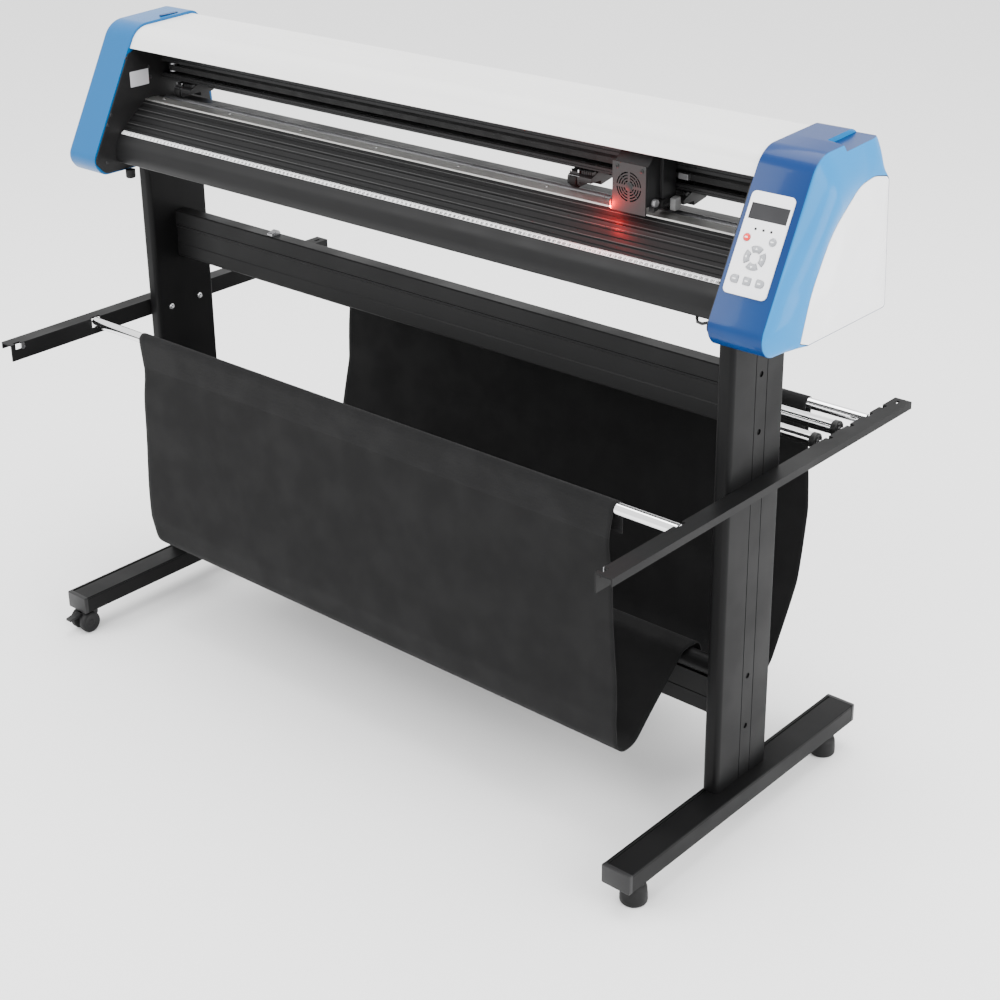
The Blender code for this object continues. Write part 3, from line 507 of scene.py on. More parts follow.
def carve(obj, shape, name):
    """Cuts a shape out of a piece, at once, by an exact Boolean."""
    tool = to_scene(name, mesh_of(name, shape, weld=False))
    step = obj.modifiers.new(name, "BOOLEAN")
    step.operation, step.solver, step.object = "DIFFERENCE", "EXACT", tool
    obj.modifiers.move(len(obj.modifiers) - 1, 0)
    kept = [(m.name, m.show_viewport) for m in obj.modifiers]
    for modifier in obj.modifiers:
        modifier.show_viewport = modifier.name == name
    cut = bpy.data.meshes.new_from_object(obj.evaluated_get(bpy.context.evaluated_depsgraph_get()))
    obj.modifiers.remove(obj.modifiers[name])
    for key, shown in kept:
        if key != name:
            obj.modifiers[key].show_viewport = shown
    cut.materials.clear()
    cut.materials.append(obj.data.materials[0])
    cut.shade_smooth()
    cut.set_sharp_from_angle(angle=math.radians(32))
    obj.data = cut
    bpy.data.objects.remove(tool)


def screw(name, centre, axis, radius, material, body="machine", height=2.0, sides=28):
    """A cap screw: a domed head with a hexagonal socket, its face out along the axis."""
    letter, sign = axis[1], 1 if axis[0] == "+" else -1
    order = {"X": (1, 2), "Y": (0, 2), "Z": (0, 1)}[letter]
    level = centre["XYZ".index(letter)]
    flat = (centre[order[0]], centre[order[1]])
    h = height * sign
    profile = [(level, radius), (level + 0.6 * h, radius), (level + 0.9 * h, radius * 0.86),
               (level + h, radius * 0.62), (level + h, radius * 0.5), (level + 0.45 * h, radius * 0.46)]
    make(name, turned(profile, flat, letter, sides), material, body)


def axle(node):
    """Where a round node starts and ends along X, and its axis as (y, z)."""
    low, high = span(node)
    return low[0], high[0], ((low[1] + high[1]) / 2, (low[2] + high[2]) / 2)


# ------------------------------------------------------------------ stand

FOOT_WIDTH, POST_WIDTH = 55.0, 30.0
GROOVES_Y, GROOVE_DEPTH = (-20.9, 10.3), 1.3
BOLT_Y, BOLT_LEVELS = -6.3, (181.8, 277.8, 716.7, 814.0)
BAR_RADIUS, ROLLER_RADIUS, ROLLER_END = 10.0, 12.5, 31
WHEEL_RADIUS, CASTER_TRAIL = 22, 19


def dress_post(name, node, outer, finish):
    """A post's outline carried along Z: wide round front corners and two fine grooves in its outer
    face, with four fixing holes cut through that face, each with a near-black disc set inside as painted
    shadow."""
    low, high = span(node)
    corners = [(low[0], low[1], 9), (high[0], low[1], 9), (high[0], high[1], 3), (low[0], high[1], 3)]
    outline = rounded(corners, step=9)
    face = high[0] if outer > 0 else low[0]
    notched = []
    for a, b in zip(outline, np.roll(outline, -1, 0)):
        notched.append(a)
        if abs(a[0] - face) < 0.01 and abs(b[0] - face) < 0.01:
            rising = b[1] > a[1]
            for y in (GROOVES_Y if rising else GROOVES_Y[::-1]):
                way = 1 if rising else -1
                inner = face - outer * GROOVE_DEPTH
                notched += [(face, y - 0.8 * way), (inner, y - 0.5 * way),
                            (inner, y + 0.5 * way), (face, y + 0.8 * way)]
    post = make(name, extrude(notched, low[2], high[2], "Z"), finish,
                stands_for=[node], sharp=30)
    for index, z in enumerate(BOLT_LEVELS):
        hole = turned([(face - 4 * outer, 5.0), (face + 4 * outer, 5.0)], (BOLT_Y, z), "X", 28)
        carve(post, hole, f"{name}_hole_{index}")
        # The near-black disc inside each hole is painted shadow for the hole's dark inside.
        seat = turned([(face - 4.2 * outer, 4.7), (face - 2.6 * outer, 4.3)], (BOLT_Y, z), "X", 24)
        make(f"{name}_hole_shade_{index}", seat, SHADOW)


def dress_foot(name, node, finish, cap_finish):
    """A foot's outline carried along Y, with a slot along its top and a fine groove along its
    right side. Each end cap is a rounded rectangle drawn in twice towards its outer face."""
    low, high = span(node)
    x0, x1, z0, z1 = low[0], high[0], low[2], high[2]
    outline = [(x0 + 0.8, z0), (x1 - 0.8, z0), (x1, z0 + 0.8), (x1, z1 - 4.2), (x1 - 0.5, z1 - 3.7),
               (x1 - 0.5, z1 - 3.1), (x1, z1 - 2.6), (x1, z1 - 1.2), (x1 - 1.2, z1), (x0 + 9.6, z1),
               (x0 + 9, z1 - 0.6), (x0 + 9, z1 - 1.8), (x0 + 6, z1 - 1.8), (x0 + 6, z1 - 0.6),
               (x0 + 5.4, z1), (x0 + 1.2, z1), (x0, z1 - 1.2), (x0, z0 + 0.8)]
    y0, y1 = low[1], high[1]
    make(name, extrude(outline, y0 + 8, y1 - 8, "Y"), finish,
         stands_for=[node], sharp=25)
    face = rounded_box((x0 + x1) / 2, (z0 + z1) / 2, FOOT_WIDTH / 2 + 0.4, 17.3, 2.5)
    for end, outer, way in (("front", y0, 1), ("rear", y1, -1)):
        inner = outer + 8 * way
        rings = [lay(face, inner, "Y"), lay(face, outer + 1.6 * way, "Y"),
                 lay(inset(face, 0.5), outer + 0.5 * way, "Y"), lay(inset(face, 1.5), outer, "Y")]
        make(f"{name}_{end}_cap", loft(rings), cap_finish)


def dress_beams(finish):
    """Both beams' outlines carried along X. The lower one ends in a round tube edge: the part of a
    circle that stands above the web. A small clip sits on the upper one."""
    low, high = span("upper_cross_beam")
    x0, x1 = low[0], high[0]
    y0, y1 = low[1] + 0.2, high[1]
    z0, z1 = 724.0, high[2]
    front = [(y0, z0 + 1), (y0, 749.2), (y0 + 1.6, 751), (y0 + 1.6, 782.6), (y0 - 0.2, 784.2),
             (y0 - 0.2, 787.2), (y0 + 1.1, 788), (y0 + 1.1, 788.6), (y0, 789.4), (y0, z1 - 2), (y0 + 2, z1)]
    back = [(y1 - 2, z1), (y1, z1 - 2), (y1, 716), (y1 - 16, 716), (y1 - 16, z0), (y0 + 1, z0)]
    make("upper_beam", extrude(front + back, x0, x1), finish,
         stands_for=["upper_cross_beam"], sharp=22)
    low, high = span("lower_cross_beam")
    y0, y1, z0 = -23.4, 6.6, low[2]
    web_top, tube_y, tube_z, tube_radius = 256, -10, 272, 17
    half = math.acos((tube_z - web_top) / tube_radius)
    turn = -np.pi / 2 - half - np.linspace(0, 2 * np.pi - 2 * half, 40)
    arc = np.stack([tube_y + tube_radius * np.cos(turn), tube_z + tube_radius * np.sin(turn)], 1)
    front = [(y0 + 1, z0), (y0, z0 + 1), (y0, 216.6), (y0 + 1.2, 217.4), (y0 + 1.2, 218.6), (y0, 219.4)]
    outline = np.vstack([front, [(y0, web_top)], arc,
                         [(y1, web_top), (y1, z0 + 1), (y1 - 1, z0)]])
    make("lower_beam", extrude(outline, low[0], high[0]), finish,
         stands_for=["lower_cross_beam"], sharp=28)
    clip = rounded([(-20, 817, 1), (-20, 822, 2), (-2, 826, 2), (2, 821, 1), (2, 817, 1)])
    make("beam_clip", extrude(clip, -438, -424), GREY_METAL, bevel=0.4)


def dress_bars():
    """Profiles turned round the bars' and rollers' axes, with eased ends, hubs and pins."""
    for node in ("front_basket_bar", "rear_basket_bar"):
        x0, x1, centre = axle(node)
        profile = [(x0, BAR_RADIUS - 1.4), (x0 + 0.5, BAR_RADIUS - 0.4), (x0 + 1.4, BAR_RADIUS),
                   (x1 - 1.4, BAR_RADIUS), (x1 - 0.5, BAR_RADIUS - 0.4), (x1, BAR_RADIUS - 1.4)]
        make(node + "_tube", turned(profile, centre, "X", 64), CHROME, stands_for=[node])
    for node, body in (("media_roller_front", "front_roller"), ("media_roller_rear", "rear_roller")):
        left, right, centre = axle(node)
        x0, x1 = left + ROLLER_END, right - ROLLER_END
        tube = [(x0, ROLLER_RADIUS - 1.1), (x0 + 0.4, ROLLER_RADIUS), (x1 - 0.4, ROLLER_RADIUS),
                (x1, ROLLER_RADIUS - 1.1)]
        make(node + "_tube", turned(tube, centre, "X", 64), CHROME, body, [node])
        for end, near, far, tip in (("left", x0, x0 - 11, left), ("right", x1, x1 + 11, right)):
            way = 1 if far > near else -1
            hub = [(near + 0.1 * way, 13.2), (near + 1.2 * way, 14), (far - 1.2 * way, 14),
                   (far - 0.2 * way, 13.2), (far, 11.5), (far - 1.4 * way, 9.5), (far - 1.4 * way, 6.4),
                   (far, 6.0)]
            make(f"{node}_{end}_hub", turned(hub, centre, "X", 48), DARK, body)
            pin = [(far - 3 * way, 4), (tip - 0.6 * way, 4), (tip, 3.4)]
            make(f"{node}_{end}_pin", turned(pin, centre, "X", 32), CHROME, body)


def dress_rubber_feet():
    """One profile turned round each foot's upright axis: a wide pad that narrows to a neck."""
    for node in ("rubber_foot_front", "rubber_foot_rear"):
        low, high = span(node)
        centre = (low[:2] + high[:2]) / 2
        profile = [(0, 18.5), (0.5, 20.4), (2.2, 22.3), (5, 23), (16, 22.8), (28, 21.8), (31.5, 20.6),
                   (33.5, 18.2), (34.4, 17.2), (49.7, 17)]
        make(node + "_pad", turned(profile, centre, "Z", 56), RUBBER, stands_for=[node])


def dress_casters():
    """Twin wheels on one axle, each a profile turned round X, under a turned swivel head and a
    fork whose side view is an outline with rounded corners; and the front one's brake pedal."""
    for end in ("front", "rear"):
        node = f"caster_{end}_wheels"
        low, high = span(node)
        x, y, z = (low + high) / 2
        discs = []
        for way in (-1, 1):
            profile = [(x + 8 * way, 4), (x + 8 * way, 19.5), (x + 8.8 * way, 21.2),
                       (x + 10.6 * way, WHEEL_RADIUS), (x + 18.6 * way, WHEEL_RADIUS),
                       (x + 20.8 * way, 21), (x + 21.8 * way, 19),
                       (x + 22 * way, 17), (x + 21.2 * way, 15.6), (x + 21.2 * way, 7), (x + 22 * way, 6),
                       (x + 22 * way, 2)]
            discs.append(turned(profile, (y, z), "X", 56))
        shaft = turned([(x - 9, 4), (x + 9, 4)], (y, z), "X", 24)
        make(f"{end}_twin_wheels", together(*discs, shaft), TYRE, f"{end}_wheels",
             [node])
        top = span(f"caster_{end}_fork")[1][2]
        trail = 1 if end == "rear" else -1
        swivel = y - CASTER_TRAIL * trail
        head = turned([(top, 15.6), (top - 0.8, 17), (46.2, 17), (45.4, 16), (44.8, 8)],
                      (x, swivel), "Z", 40)
        shell = [(swivel - 9 * trail, 45), (swivel + 12 * trail, 45), (y + 10 * trail, 30),
                 (y + 10 * trail, 15), (y - 7 * trail, 15), (swivel - 9 * trail, 30)]
        legs = extrude(rounded([(a, b, 3.5) for a, b in shell], step=14), x - 7, x + 7)
        make(f"{end}_swivel_fork", together(head, legs), DARK_PLASTIC, f"{end}_fork",
             [f"caster_{end}_fork"])
    low, high = span("caster_brake")
    py, pz = -351.5, 38.5
    pedal = rounded([(py + 4, pz - 3.6, 3), (py + 4, pz + 3.8, 3.2), (py - 10, pz + 3.2, 6),
                     (py - 27, pz + 0.4, 1.2), (py - 27.6, pz - 4.6, 1.4), (py - 12, pz - 2.6, 6)], step=12)
    make("brake_pedal", extrude(pedal, low[0], high[0]), DARK_PLASTIC, "brake",
         ["caster_brake"], bevel=0.8)


def dress_arms():
    """The screws that fasten the arms and a small bent hook, an outline carried along X, by each
    arm's front end."""
    for side, node in ((1, "right_arm"), (-1, "left_arm")):
        low, high = span(node)
        face = low[0] if side > 0 else high[0]
        for index, (y, z) in enumerate(((-52, 622), (22, 625))):
            inner = face - side * (POST_WIDTH + 0.6)
            sign = "-" if side > 0 else "+"
            screw(f"{node}_screw_{index}", (inner, y, z), sign + "X", 5.6, BRIGHT, height=3.2)
        tip = rounded([(low[1] + 22, 637, 1), (low[1] + 22, 626, 3), (low[1] + 26, 624, 2),
                       (low[1] + 30, 628, 2), (low[1] + 29, 637, 1)], step=15)
        make(f"{node}_hook", extrude(tip, face - side * 1.4, face - side * 0.2), GREY_METAL)


# ------------------------------------------------------------------ basket

CLING = 10.6
BAR_LEVEL = 628.0


def hem_turn(y):
    """The cloth's half circle over a bar."""
    turn = np.linspace(0, np.pi, 26)
    return np.stack([y + CLING * np.cos(turn), BAR_LEVEL + CLING * np.sin(turn)], 1)


def basket_line():
    """The cloth's line across the machine, straight runs joined by arcs: hem round the front bar,
    down the front panel, up over the lower beam's tube, down into the rear pocket and up round the
    rear bar. Run is the length along it."""
    front_y, rear_y = -217.0, 322.4
    left, top = front_y - CLING, 293.6
    pockets = [(left, 250, 60), (left + 12, 180, 34), (-165, 179, 40), (-60, 268, 60), (-32, top, 16),
               (12, top, 14), (34, 240, 40), (86, 138, 60), (150, 112, 70), (232, 138, 70),
               (304, 290, 90), (rear_y + CLING, 420, 90)]
    front, rear = hem_turn(front_y), hem_turn(rear_y)
    middle = rounded([tuple(front[-1])] + pockets + [tuple(rear[0])], closed=False, step=3)
    line = np.vstack([[(front_y + CLING, 580)], front, middle[1:-1], rear, [(rear_y - CLING, 580)]])
    run = np.concatenate([[0], np.cumsum(np.linalg.norm(np.diff(line, axis=0), axis=1))])
    return line, run


BASKET_LINE, BASKET_RUN = basket_line()
CLOTH_LENGTH = float(BASKET_RUN[-1]) * MM
HEM = (48 + math.pi * CLING + 50) * MM  # up to the bar, half round it, and down to the stitches
CLOTH_WALL = 1.6


def basket():
    """The sheet over (x, run): the line above carried along X and lifted along its normal. The
    lift is two crossed sines that fade at the hems, less a sag of half a sine along X, both under
    bell curves of run; the hems stand half the wall higher. The side edges draw in just below the
    hems and flare lower down, by bell curves of run that die off exponentially from each edge."""
    low, high = span("fabric_basket")
    rows, columns = 320, 140
    run = np.linspace(0, BASKET_RUN[-1], rows)
    y = np.interp(run, BASKET_RUN, BASKET_LINE[:, 0])
    z = np.interp(run, BASKET_RUN, BASKET_LINE[:, 1])
    slope = np.stack([np.gradient(y, run), np.gradient(z, run)], 1)
    slope /= np.linalg.norm(slope, axis=1)[:, None]
    share = np.linspace(0, 1, columns)
    x = low[0] + (high[0] - low[0]) * share
    hem = HEM / MM
    total = BASKET_RUN[-1]
    free = np.clip((run - hem) / 60, 0, 1) * np.clip((total - hem - run) / 60, 0, 1)
    front = np.exp(-((run - 250) / 130) ** 2)
    rear = np.exp(-((run - (total - 300)) / 170) ** 2)
    along = x[None] - x[0]
    down = run[:, None]
    wave = 1.6 * np.sin(along / 95 + down / 140) + 1.1 * np.sin(along / 51 - down / 90 + 1.3)
    arch = np.sin(np.pi * share)[None]
    sag = 3.2 * arch * front[:, None] + 5 * arch * rear[:, None]
    lift = (wave * 0.7 * free[:, None] * (front + rear)[:, None]) - sag
    near_hem = 1 - np.clip((run - hem) / 2.5, 0, 1)
    far_hem = np.clip((run - total + hem) / 2.5, 0, 1)
    doubled = CLOTH_WALL / 2 * near_hem + CLOTH_WALL / 2 * far_hem
    lift = lift + doubled[:, None]
    near_draw = np.exp(-((run - hem - 10) / 45) ** 2)
    far_draw = np.exp(-((run - total + hem + 10) / 60) ** 2)
    draw = 9.0 * (near_draw + 0.6 * far_draw)
    front_flare = np.exp(-((run - 420) / 120) ** 2)
    rear_flare = np.exp(-((run - total + 420) / 150) ** 2)
    flare = 11.0 * front_flare + 7.0 * rear_flare
    pull = (draw - flare)[:, None] * (np.exp(-share * 16) - np.exp(-(1 - share) * 16))[None]
    grid = np.stack([x[None] + pull,
                     y[:, None] + slope[:, 1:] * lift,
                     z[:, None] - slope[:, :1] * lift], -1)
    sheet = make("catch_basket", (grid.reshape(-1, 3), grid_faces(rows, columns)), CLOTH,
                 stands_for=["fabric_basket"], sharp=80, clean=False)
    layer = sheet.data.uv_layers.new(name="cloth")
    flat = np.stack(np.broadcast_arrays((x * MM)[None], (run * MM)[:, None]), -1).reshape(-1, 2)
    index = np.empty(len(sheet.data.loops), int)
    sheet.data.loops.foreach_get("vertex_index", index)
    layer.data.foreach_set("uv", flat[index].astype(np.float32).ravel())
    wall = sheet.modifiers.new("wall", "SOLIDIFY")
    wall.thickness, wall.offset = CLOTH_WALL * MM, 0.0


# ------------------------------------------------------------------ end caps and hood

CAP_CORNERS = [(-170, 916, 26), (-191, 944, 28), (-62, 1189, 50), (98, 1196, 24), (112, 1080, 60),
               (123, 916, 8)]
COVER_CORNERS = [(-117, 919, 6), (-92, 998, 200), (-44, 1078, 160), (26, 1131, 60), (66, 1137, 60),
                 (107, 1128, 12), (109.5, 1080, 50), (120.5, 919, 6)]
COVER_PIVOT = np.array([30.0, 1000.0])
CAP_FACE = 783.0
SEAT_RISE = 18.0
DOME_TOP = 816.5


def crossings(outline, angles, centre):
    """Where rays from the centre at these angles leave a closed outline: each ray is solved against
    every edge, and the farthest crossing that lies on its edge is kept."""
    start = np.asarray(outline, float) - centre
    edge = np.roll(start, -1, 0) - start
    ray = np.stack([np.cos(angles), np.sin(angles)], 1)
    cross = ray[:, :1] * edge[None, :, 1] - ray[:, 1:] * edge[None, :, 0]
    cross = np.where(np.abs(cross) < 1e-9, 1e-9, cross)
    far = (start[:, 0] * edge[:, 1] - start[:, 1] * edge[:, 0])[None] / cross
    share = (start[None, :, 0] * ray[:, 1:] - start[None, :, 1] * ray[:, :1]) / cross
    good = (share >= -1e-6) & (share <= 1 + 1e-6) & (far > 0)
    return ray * np.where(good, far, -1).max(1)[:, None] + centre


def cap_angles():
    """Ray angles through every corner arc of the cap and its cover, and evenly between."""
    both = np.vstack([rounded(CAP_CORNERS, step=5), rounded(COVER_CORNERS, step=5)]) - COVER_PIVOT
    angles = np.concatenate([np.arctan2(both[:, 1], both[:, 0]), np.linspace(-np.pi, np.pi, 120)])
    angles = np.sort(angles)
    return angles[np.concatenate([[True], np.diff(angles) > math.radians(0.2)])]


def side_rise(angles, share):
    """How far the side swells out between the cap's edge and the cover's seat: a quick rise that
    levels off, with one soft crease towards the front upper corner. The swell is one less the
    power 2.1 of what is left; the crease is a parabola of share that falls off straight in angle."""
    swell = SEAT_RISE * (1 - (1 - share) ** 2.1)
    off = np.degrees(angles) - 118
    off = np.where(off > 0, off / 60, -off / 34)
    crease = 9.0 * np.clip(1 - off, 0, 1) * 4 * share * (1 - share)
    return swell + crease


def about_pivot(outline, share):
    """A cover outline drawn towards the pivot to this share of its size."""
    return COVER_PIVOT + (outline - COVER_PIVOT) * share


def dress_right_cap(paint):
    """Rings of ray points, joined from the inner face outwards: the cap's outline along X, then 22
    steps from its eased edge to the cover's outline, raised by side_rise. The cover is a dome whose
    rise is one less the share of its size to the power 2.4. A recess is cut in the top."""
    angles = cap_angles()
    cap = crossings(rounded(CAP_CORNERS, step=5), angles, COVER_PIVOT)
    cover = crossings(rounded(COVER_CORNERS, step=5), angles, COVER_PIVOT)
    low, _ = span("right_cap")
    arm = cap - COVER_PIVOT
    eased = COVER_PIVOT + arm * (1 - 0.5 / np.linalg.norm(arm, axis=1))[:, None]
    rings = [lay(cap, low[0], "X"), lay(cap, CAP_FACE - 1.6, "X"), lay(eased, CAP_FACE - 0.4, "X")]
    for share in np.linspace(0.02, 1.0, 22):
        ring = lay(eased + (cover - eased) * share, CAP_FACE, "X")
        ring[:, 0] += side_rise(angles, share)
        rings.append(ring)
    inner = about_pivot(cover, 0.995)
    rings += [lay(inner, CAP_FACE + SEAT_RISE - 2, "X"), lay(inner, CAP_FACE + 3, "X")]
    shell = make("right_cap_shell", loft(rings), paint,
                 stands_for=["right_cap"], sharp=32)
    rings = [lay(about_pivot(cover, 0.985), CAP_FACE + 4, "X"),
             lay(about_pivot(cover, 0.991), CAP_FACE + SEAT_RISE - 1.2, "X")]
    for share in np.concatenate([[0.988], np.linspace(0.975, 0.03, 26)]):
        rise = (DOME_TOP - CAP_FACE - SEAT_RISE) * (1 - share ** 2.4)
        rings.append(lay(about_pivot(cover, share), CAP_FACE + SEAT_RISE + rise - 0.3, "X"))
    make("side_cover_shell", loft(rings), WHITE_GLOSS,
         stands_for=["right_cover"], sharp=40)
    inner = [(15, 1184.2), (140, 1190), (140, 1230), (11, 1230)]
    outer = [(-8, 1183.2), (140, 1190), (140, 1230), (-12, 1230)]
    carve(shell, loft([lay(inner, 749, "X"), lay(outer, 830, "X")]), "finger_recess")


def dress_left_cap(paint):
    """The cap's outline carried along X, its outer edge a quarter ellipse. Room is cut for the
    post and the inlet, and a finger slot with its rim lies in the top; the slot is a dark navy slab as
    painted shade."""
    low, high = span("left_cap")
    edge_depth, edge_drop = 9, 7
    outline = rounded(CAP_CORNERS, step=4)
    rings = [lay(outline, high[0], "X")]
    for turn in np.linspace(0, np.pi / 2, 9):
        drop = edge_drop * (1 - math.cos(turn))
        level = low[0] + edge_depth - edge_depth * math.sin(turn)
        rings.append(lay(inset(outline, drop), level, "X"))
    cap = make("left_cap_shell", loft(rings), paint,
               stands_for=["left_cap"], sharp=35)
    post_low, post_high = span("left_post")
    room = block((post_low[0] - 0.5, post_low[1] - 0.5, 905), (-725, post_high[1] + 0.5, 936.2))
    carve(cap, room, "post_room")
    carve(cap, block((-790.6, 96, 949.4), (-761.4, 140, 974.6)), "inlet_room")
    slot = rounded_box(-747.5, 33.5, 4.2, 22, 3.6)
    # The slot's dark navy slab is painted shade for the inside of the slot.
    make("cap_finger_slot", extrude(slot, 1192, 1194.9, "Z"), SLOT_PAINTED_SHADE)
    rim = loft([lay(slot, 1194.2, "Z"), lay(slot, 1195.1, "Z"), lay(inset(slot, 0.7), 1195.1, "Z"),
                lay(inset(slot, 0.7), 1194.2, "Z")], wrap=True)
    make("cap_finger_slot_rim", rim, paint)


def dress_hood():
    """A sheet's bent path with its thickness, carried along X."""
    low, high = span("hood")
    corners = [(-79, 1148), (-60, 1184.5, 46), (96, 1190.5, 22), (108, 1085)]
    path = rounded(corners, closed=False, step=3)
    make("hood_sheet", extrude(ribbon(path, 1.8), low[0], high[0]), WHITE_SHEET,
         stands_for=["hood"], bevel=0.5, sharp=40)


# ------------------------------------------------------------------ table and guide

SLOPE_LOW = np.array([-124.0, 989.2])
SLOPE_HIGH = np.array([-56.0, 1043.0])
SLOPE_LENGTH = 86.7  # between the two, to a tenth of a millimetre
SLOPE_WAY = (SLOPE_HIGH - SLOPE_LOW) / np.linalg.norm(SLOPE_HIGH - SLOPE_LOW)
SLOPE_OUT = np.array([-SLOPE_WAY[1], SLOPE_WAY[0]])


def slope_point(share, out=0.0):
    """A point at a share of the table's slope, raised square to it by out."""
    return SLOPE_LOW + (SLOPE_HIGH - SLOPE_LOW) * share + SLOPE_OUT * out


def dress_table(finish):
    """The table's outline carried along X: an apron of arcs, a slope with grooves set by their
    share of it, width and depth, and the crest with the feed roller's trough. A hollow is cut
    along it. Beads, the knife strip and its screws lie on it; the beads are lighter than the table
    as painted highlights on the slope's ridges."""
    low, high = span("platform")
    x0, x1 = low[0], high[0]
    slope = []
    grooves = ((0.195, 0.8, 1.0), (0.30, 1.0, 1.4), (0.43, 0.8, 1.1), (0.56, 0.8, 1.1),
               (0.70, 1.2, 1.6), (0.84, 0.8, 1.1))
    for share, width, depth in grooves:
        step = width / SLOPE_LENGTH
        slope += [slope_point(share - 1.9 * step, 0.0), slope_point(share - 1.1 * step, 0.5),
                  slope_point(share - 0.9 * step, -depth), slope_point(share + step, -depth),
                  slope_point(share + 1.2 * step, 0.0)]
    front = rounded([(60, 936), (-134, 936, 4), (-138, 950, 30), (-133.5, 976, 40), (-124, 989.2, 3),
                     tuple(slope_point(0.12))], closed=False, step=3)[1:-1]
    back = [(-56.6, 1042.5), (-56, 1043), (-17, 1043), (-17, 1024), (7, 1024), (7, 1040), (34, 1040),
            (58, 1008), (60, 936)]
    outline = np.vstack([front, slope, back])
    table = make("table", extrude(outline, x0, x1), finish,
                 stands_for=["platform"], sharp=24)
    carve(table, extrude([(-129, 941), (-130, 972), (-119, 984), (-60, 1031), (-22, 1036), (-22, 1019),
                          (12, 1019), (12, 1034), (32, 1034), (54, 1004), (55, 941)], x0 - 5, x1 + 5),
          "table_hollow")
    for index, share in enumerate((0.335, 0.60, 0.745, 0.93)):
        base, across, out = slope_point(share), SLOPE_WAY, SLOPE_OUT
        bead = [base - across * 0.9 - out * 0.3, base + across * 0.9 - out * 0.3,
                base + across * 0.5 + out * 0.7, base - across * 0.5 + out * 0.7]
        # The beads' finish is lighter than the table: painted highlight on the slope's ridges.
        make(f"table_bead_{index}", extrude(bead, x0 + 0.4, x1 - 0.4), BEAD_PAINTED_HIGHLIGHT)
    low, high = span("cutting_strip")
    strip = [(-55.5, 1043.3), (-55.5, 1045.4), (-54.9, 1046), (-31.6, 1046), (-31.2, 1045.3),
             (-24, 1045.3), (-24, 1043.3)]
    make("knife_strip", extrude(strip, low[0], high[0]), STRIP_METAL,
         stands_for=["cutting_strip"], sharp=25)
    for index, x in enumerate(np.linspace(x0 + 36, x1 - 36, 8)):
        screw(f"strip_screw_{index}", (x, -37, 1045.6), "+Z", 2.6, BRIGHT, height=0.9)


SEGMENTS = {"0": "abcdef", "1": "bc", "2": "abged", "3": "abgcd", "4": "fgbc", "5": "afgcd",
            "6": "afgedc", "7": "abc", "8": "abcdefg", "9": "abcdfg"}
SEGMENT_BOXES = {"a": (0, 3.7, 2.3, 4.6), "b": (1.4, 2.2, 2.3, 4.6), "c": (1.4, 0, 2.3, 2.3),
                 "d": (0, 0, 2.3, 0.9), "e": (0, 0, 0.9, 2.3), "f": (0, 2.2, 0.9, 4.6),
                 "g": (0, 1.85, 2.3, 2.7)}


def dress_ruler():
    """A pale scale glued along the slope's foot: a tick each millimetre, longer ones at five and
    ten, and the centimetres in block figures of up to seven bars each."""
    low, high = span("platform")
    x0, x1 = low[0] + 4, high[0] - 4
    base = SLOPE_LOW + SLOPE_WAY * 1.6
    figure_pitch, figure_gap, ink_low, ink_high = 2.8, 0.6, 0.3, 0.42

    def on_slope(points):
        """(x, height across the scale, lift) to space."""
        flat = base + points[:, 1:2] * SLOPE_WAY + points[:, 2:] * SLOPE_OUT
        return np.column_stack([points[:, 0], flat])

    strip = blocks([(x0, 0, 0.0)], [(x1, 9.0, 0.35)], on_slope)
    make("scale_strip", strip, SCALE_WHITE)
    ticks = np.arange(0, x1 - x0 - 12)
    length = np.where(ticks % 10 == 0, 3.0, np.where(ticks % 5 == 0, 2.4, 1.5))
    left = x0 + 6 + ticks
    lows = np.column_stack([left - 0.2, 8.8 - length, np.full(len(ticks), ink_low)])
    highs = np.column_stack([left + 0.2, np.full(len(ticks), 8.8), np.full(len(ticks), ink_high)])
    figures_low, figures_high = [], []
    for count in range(1, int(len(ticks) / 10)):
        text = str(count)
        start = x0 + 6 + count * 10 - (len(text) * figure_pitch - figure_gap) / 2
        for place, digit in enumerate(text):
            for name in SEGMENTS[digit]:
                a, b, c, d = SEGMENT_BOXES[name]
                shift = start + place * figure_pitch
                figures_low.append((shift + a, b + 0.7, ink_low))
                figures_high.append((shift + c, d + 0.7, ink_high))
    shape = blocks(np.vstack([lows, figures_low]), np.vstack([highs, figures_high]), on_slope)
    make("scale_marks", shape, INK, clean=False)


def dress_guide(finish):
    """The guide beam's outline carried along X, and the pinch rod and feed roller as profiles
    turned round their axes, the roller necked down at an even pitch."""
    low, high = span("carriage_beam")
    outline = [(-8, 1079.6), (-7.4, 1079), (52, 1079), (52, 1150), (0, 1150), (0, 1141), (-5.4, 1139.6),
               (-5.4, 1130), (-8, 1129), (-8, 1119.6), (-7, 1119), (-7, 1117.8), (-8, 1117.2), (-8, 1112),
               (-5, 1111), (18, 1111), (18, 1089), (-5, 1089), (-5, 1088.6), (-7.4, 1087.8),
               (-8, 1087.2), (-8, 1084.2), (-7, 1083.7), (-7, 1083.0), (-8, 1082.5)]
    make("guide_beam", extrude(outline[::-1], low[0], high[0]), finish,
         stands_for=["carriage_beam"], sharp=22)
    x0, x1, centre = axle("pinch_shaft")
    make("pinch_rod", turned([(x0, 5), (x1, 5)], centre, "X", 40), GREY_METAL,
         stands_for=["pinch_shaft"])
    x0, x1, centre = axle("grit_roller")
    grit, neck, neck_pitch, shaft = 9, 8.3, 94.0, 5
    profile = [(x0, 4.6), (x0 + 0.5, shaft), (x0 + 3, shaft), (x0 + 3.2, 8.6), (x0 + 4, grit)]
    for x in np.arange(x0 + 60, 640, neck_pitch):
        profile += [(x, grit), (x + 0.4, neck), (x + 9.6, neck), (x + 10, grit)]
    profile += [(682.6, grit), (683, 8.6), (683, shaft), (x1 - 0.5, shaft), (x1, 4.5)]
    make("feed_roller_tube", turned(profile, centre, "X", 48), KNURL, "feed_roller",
         ["grit_roller"])


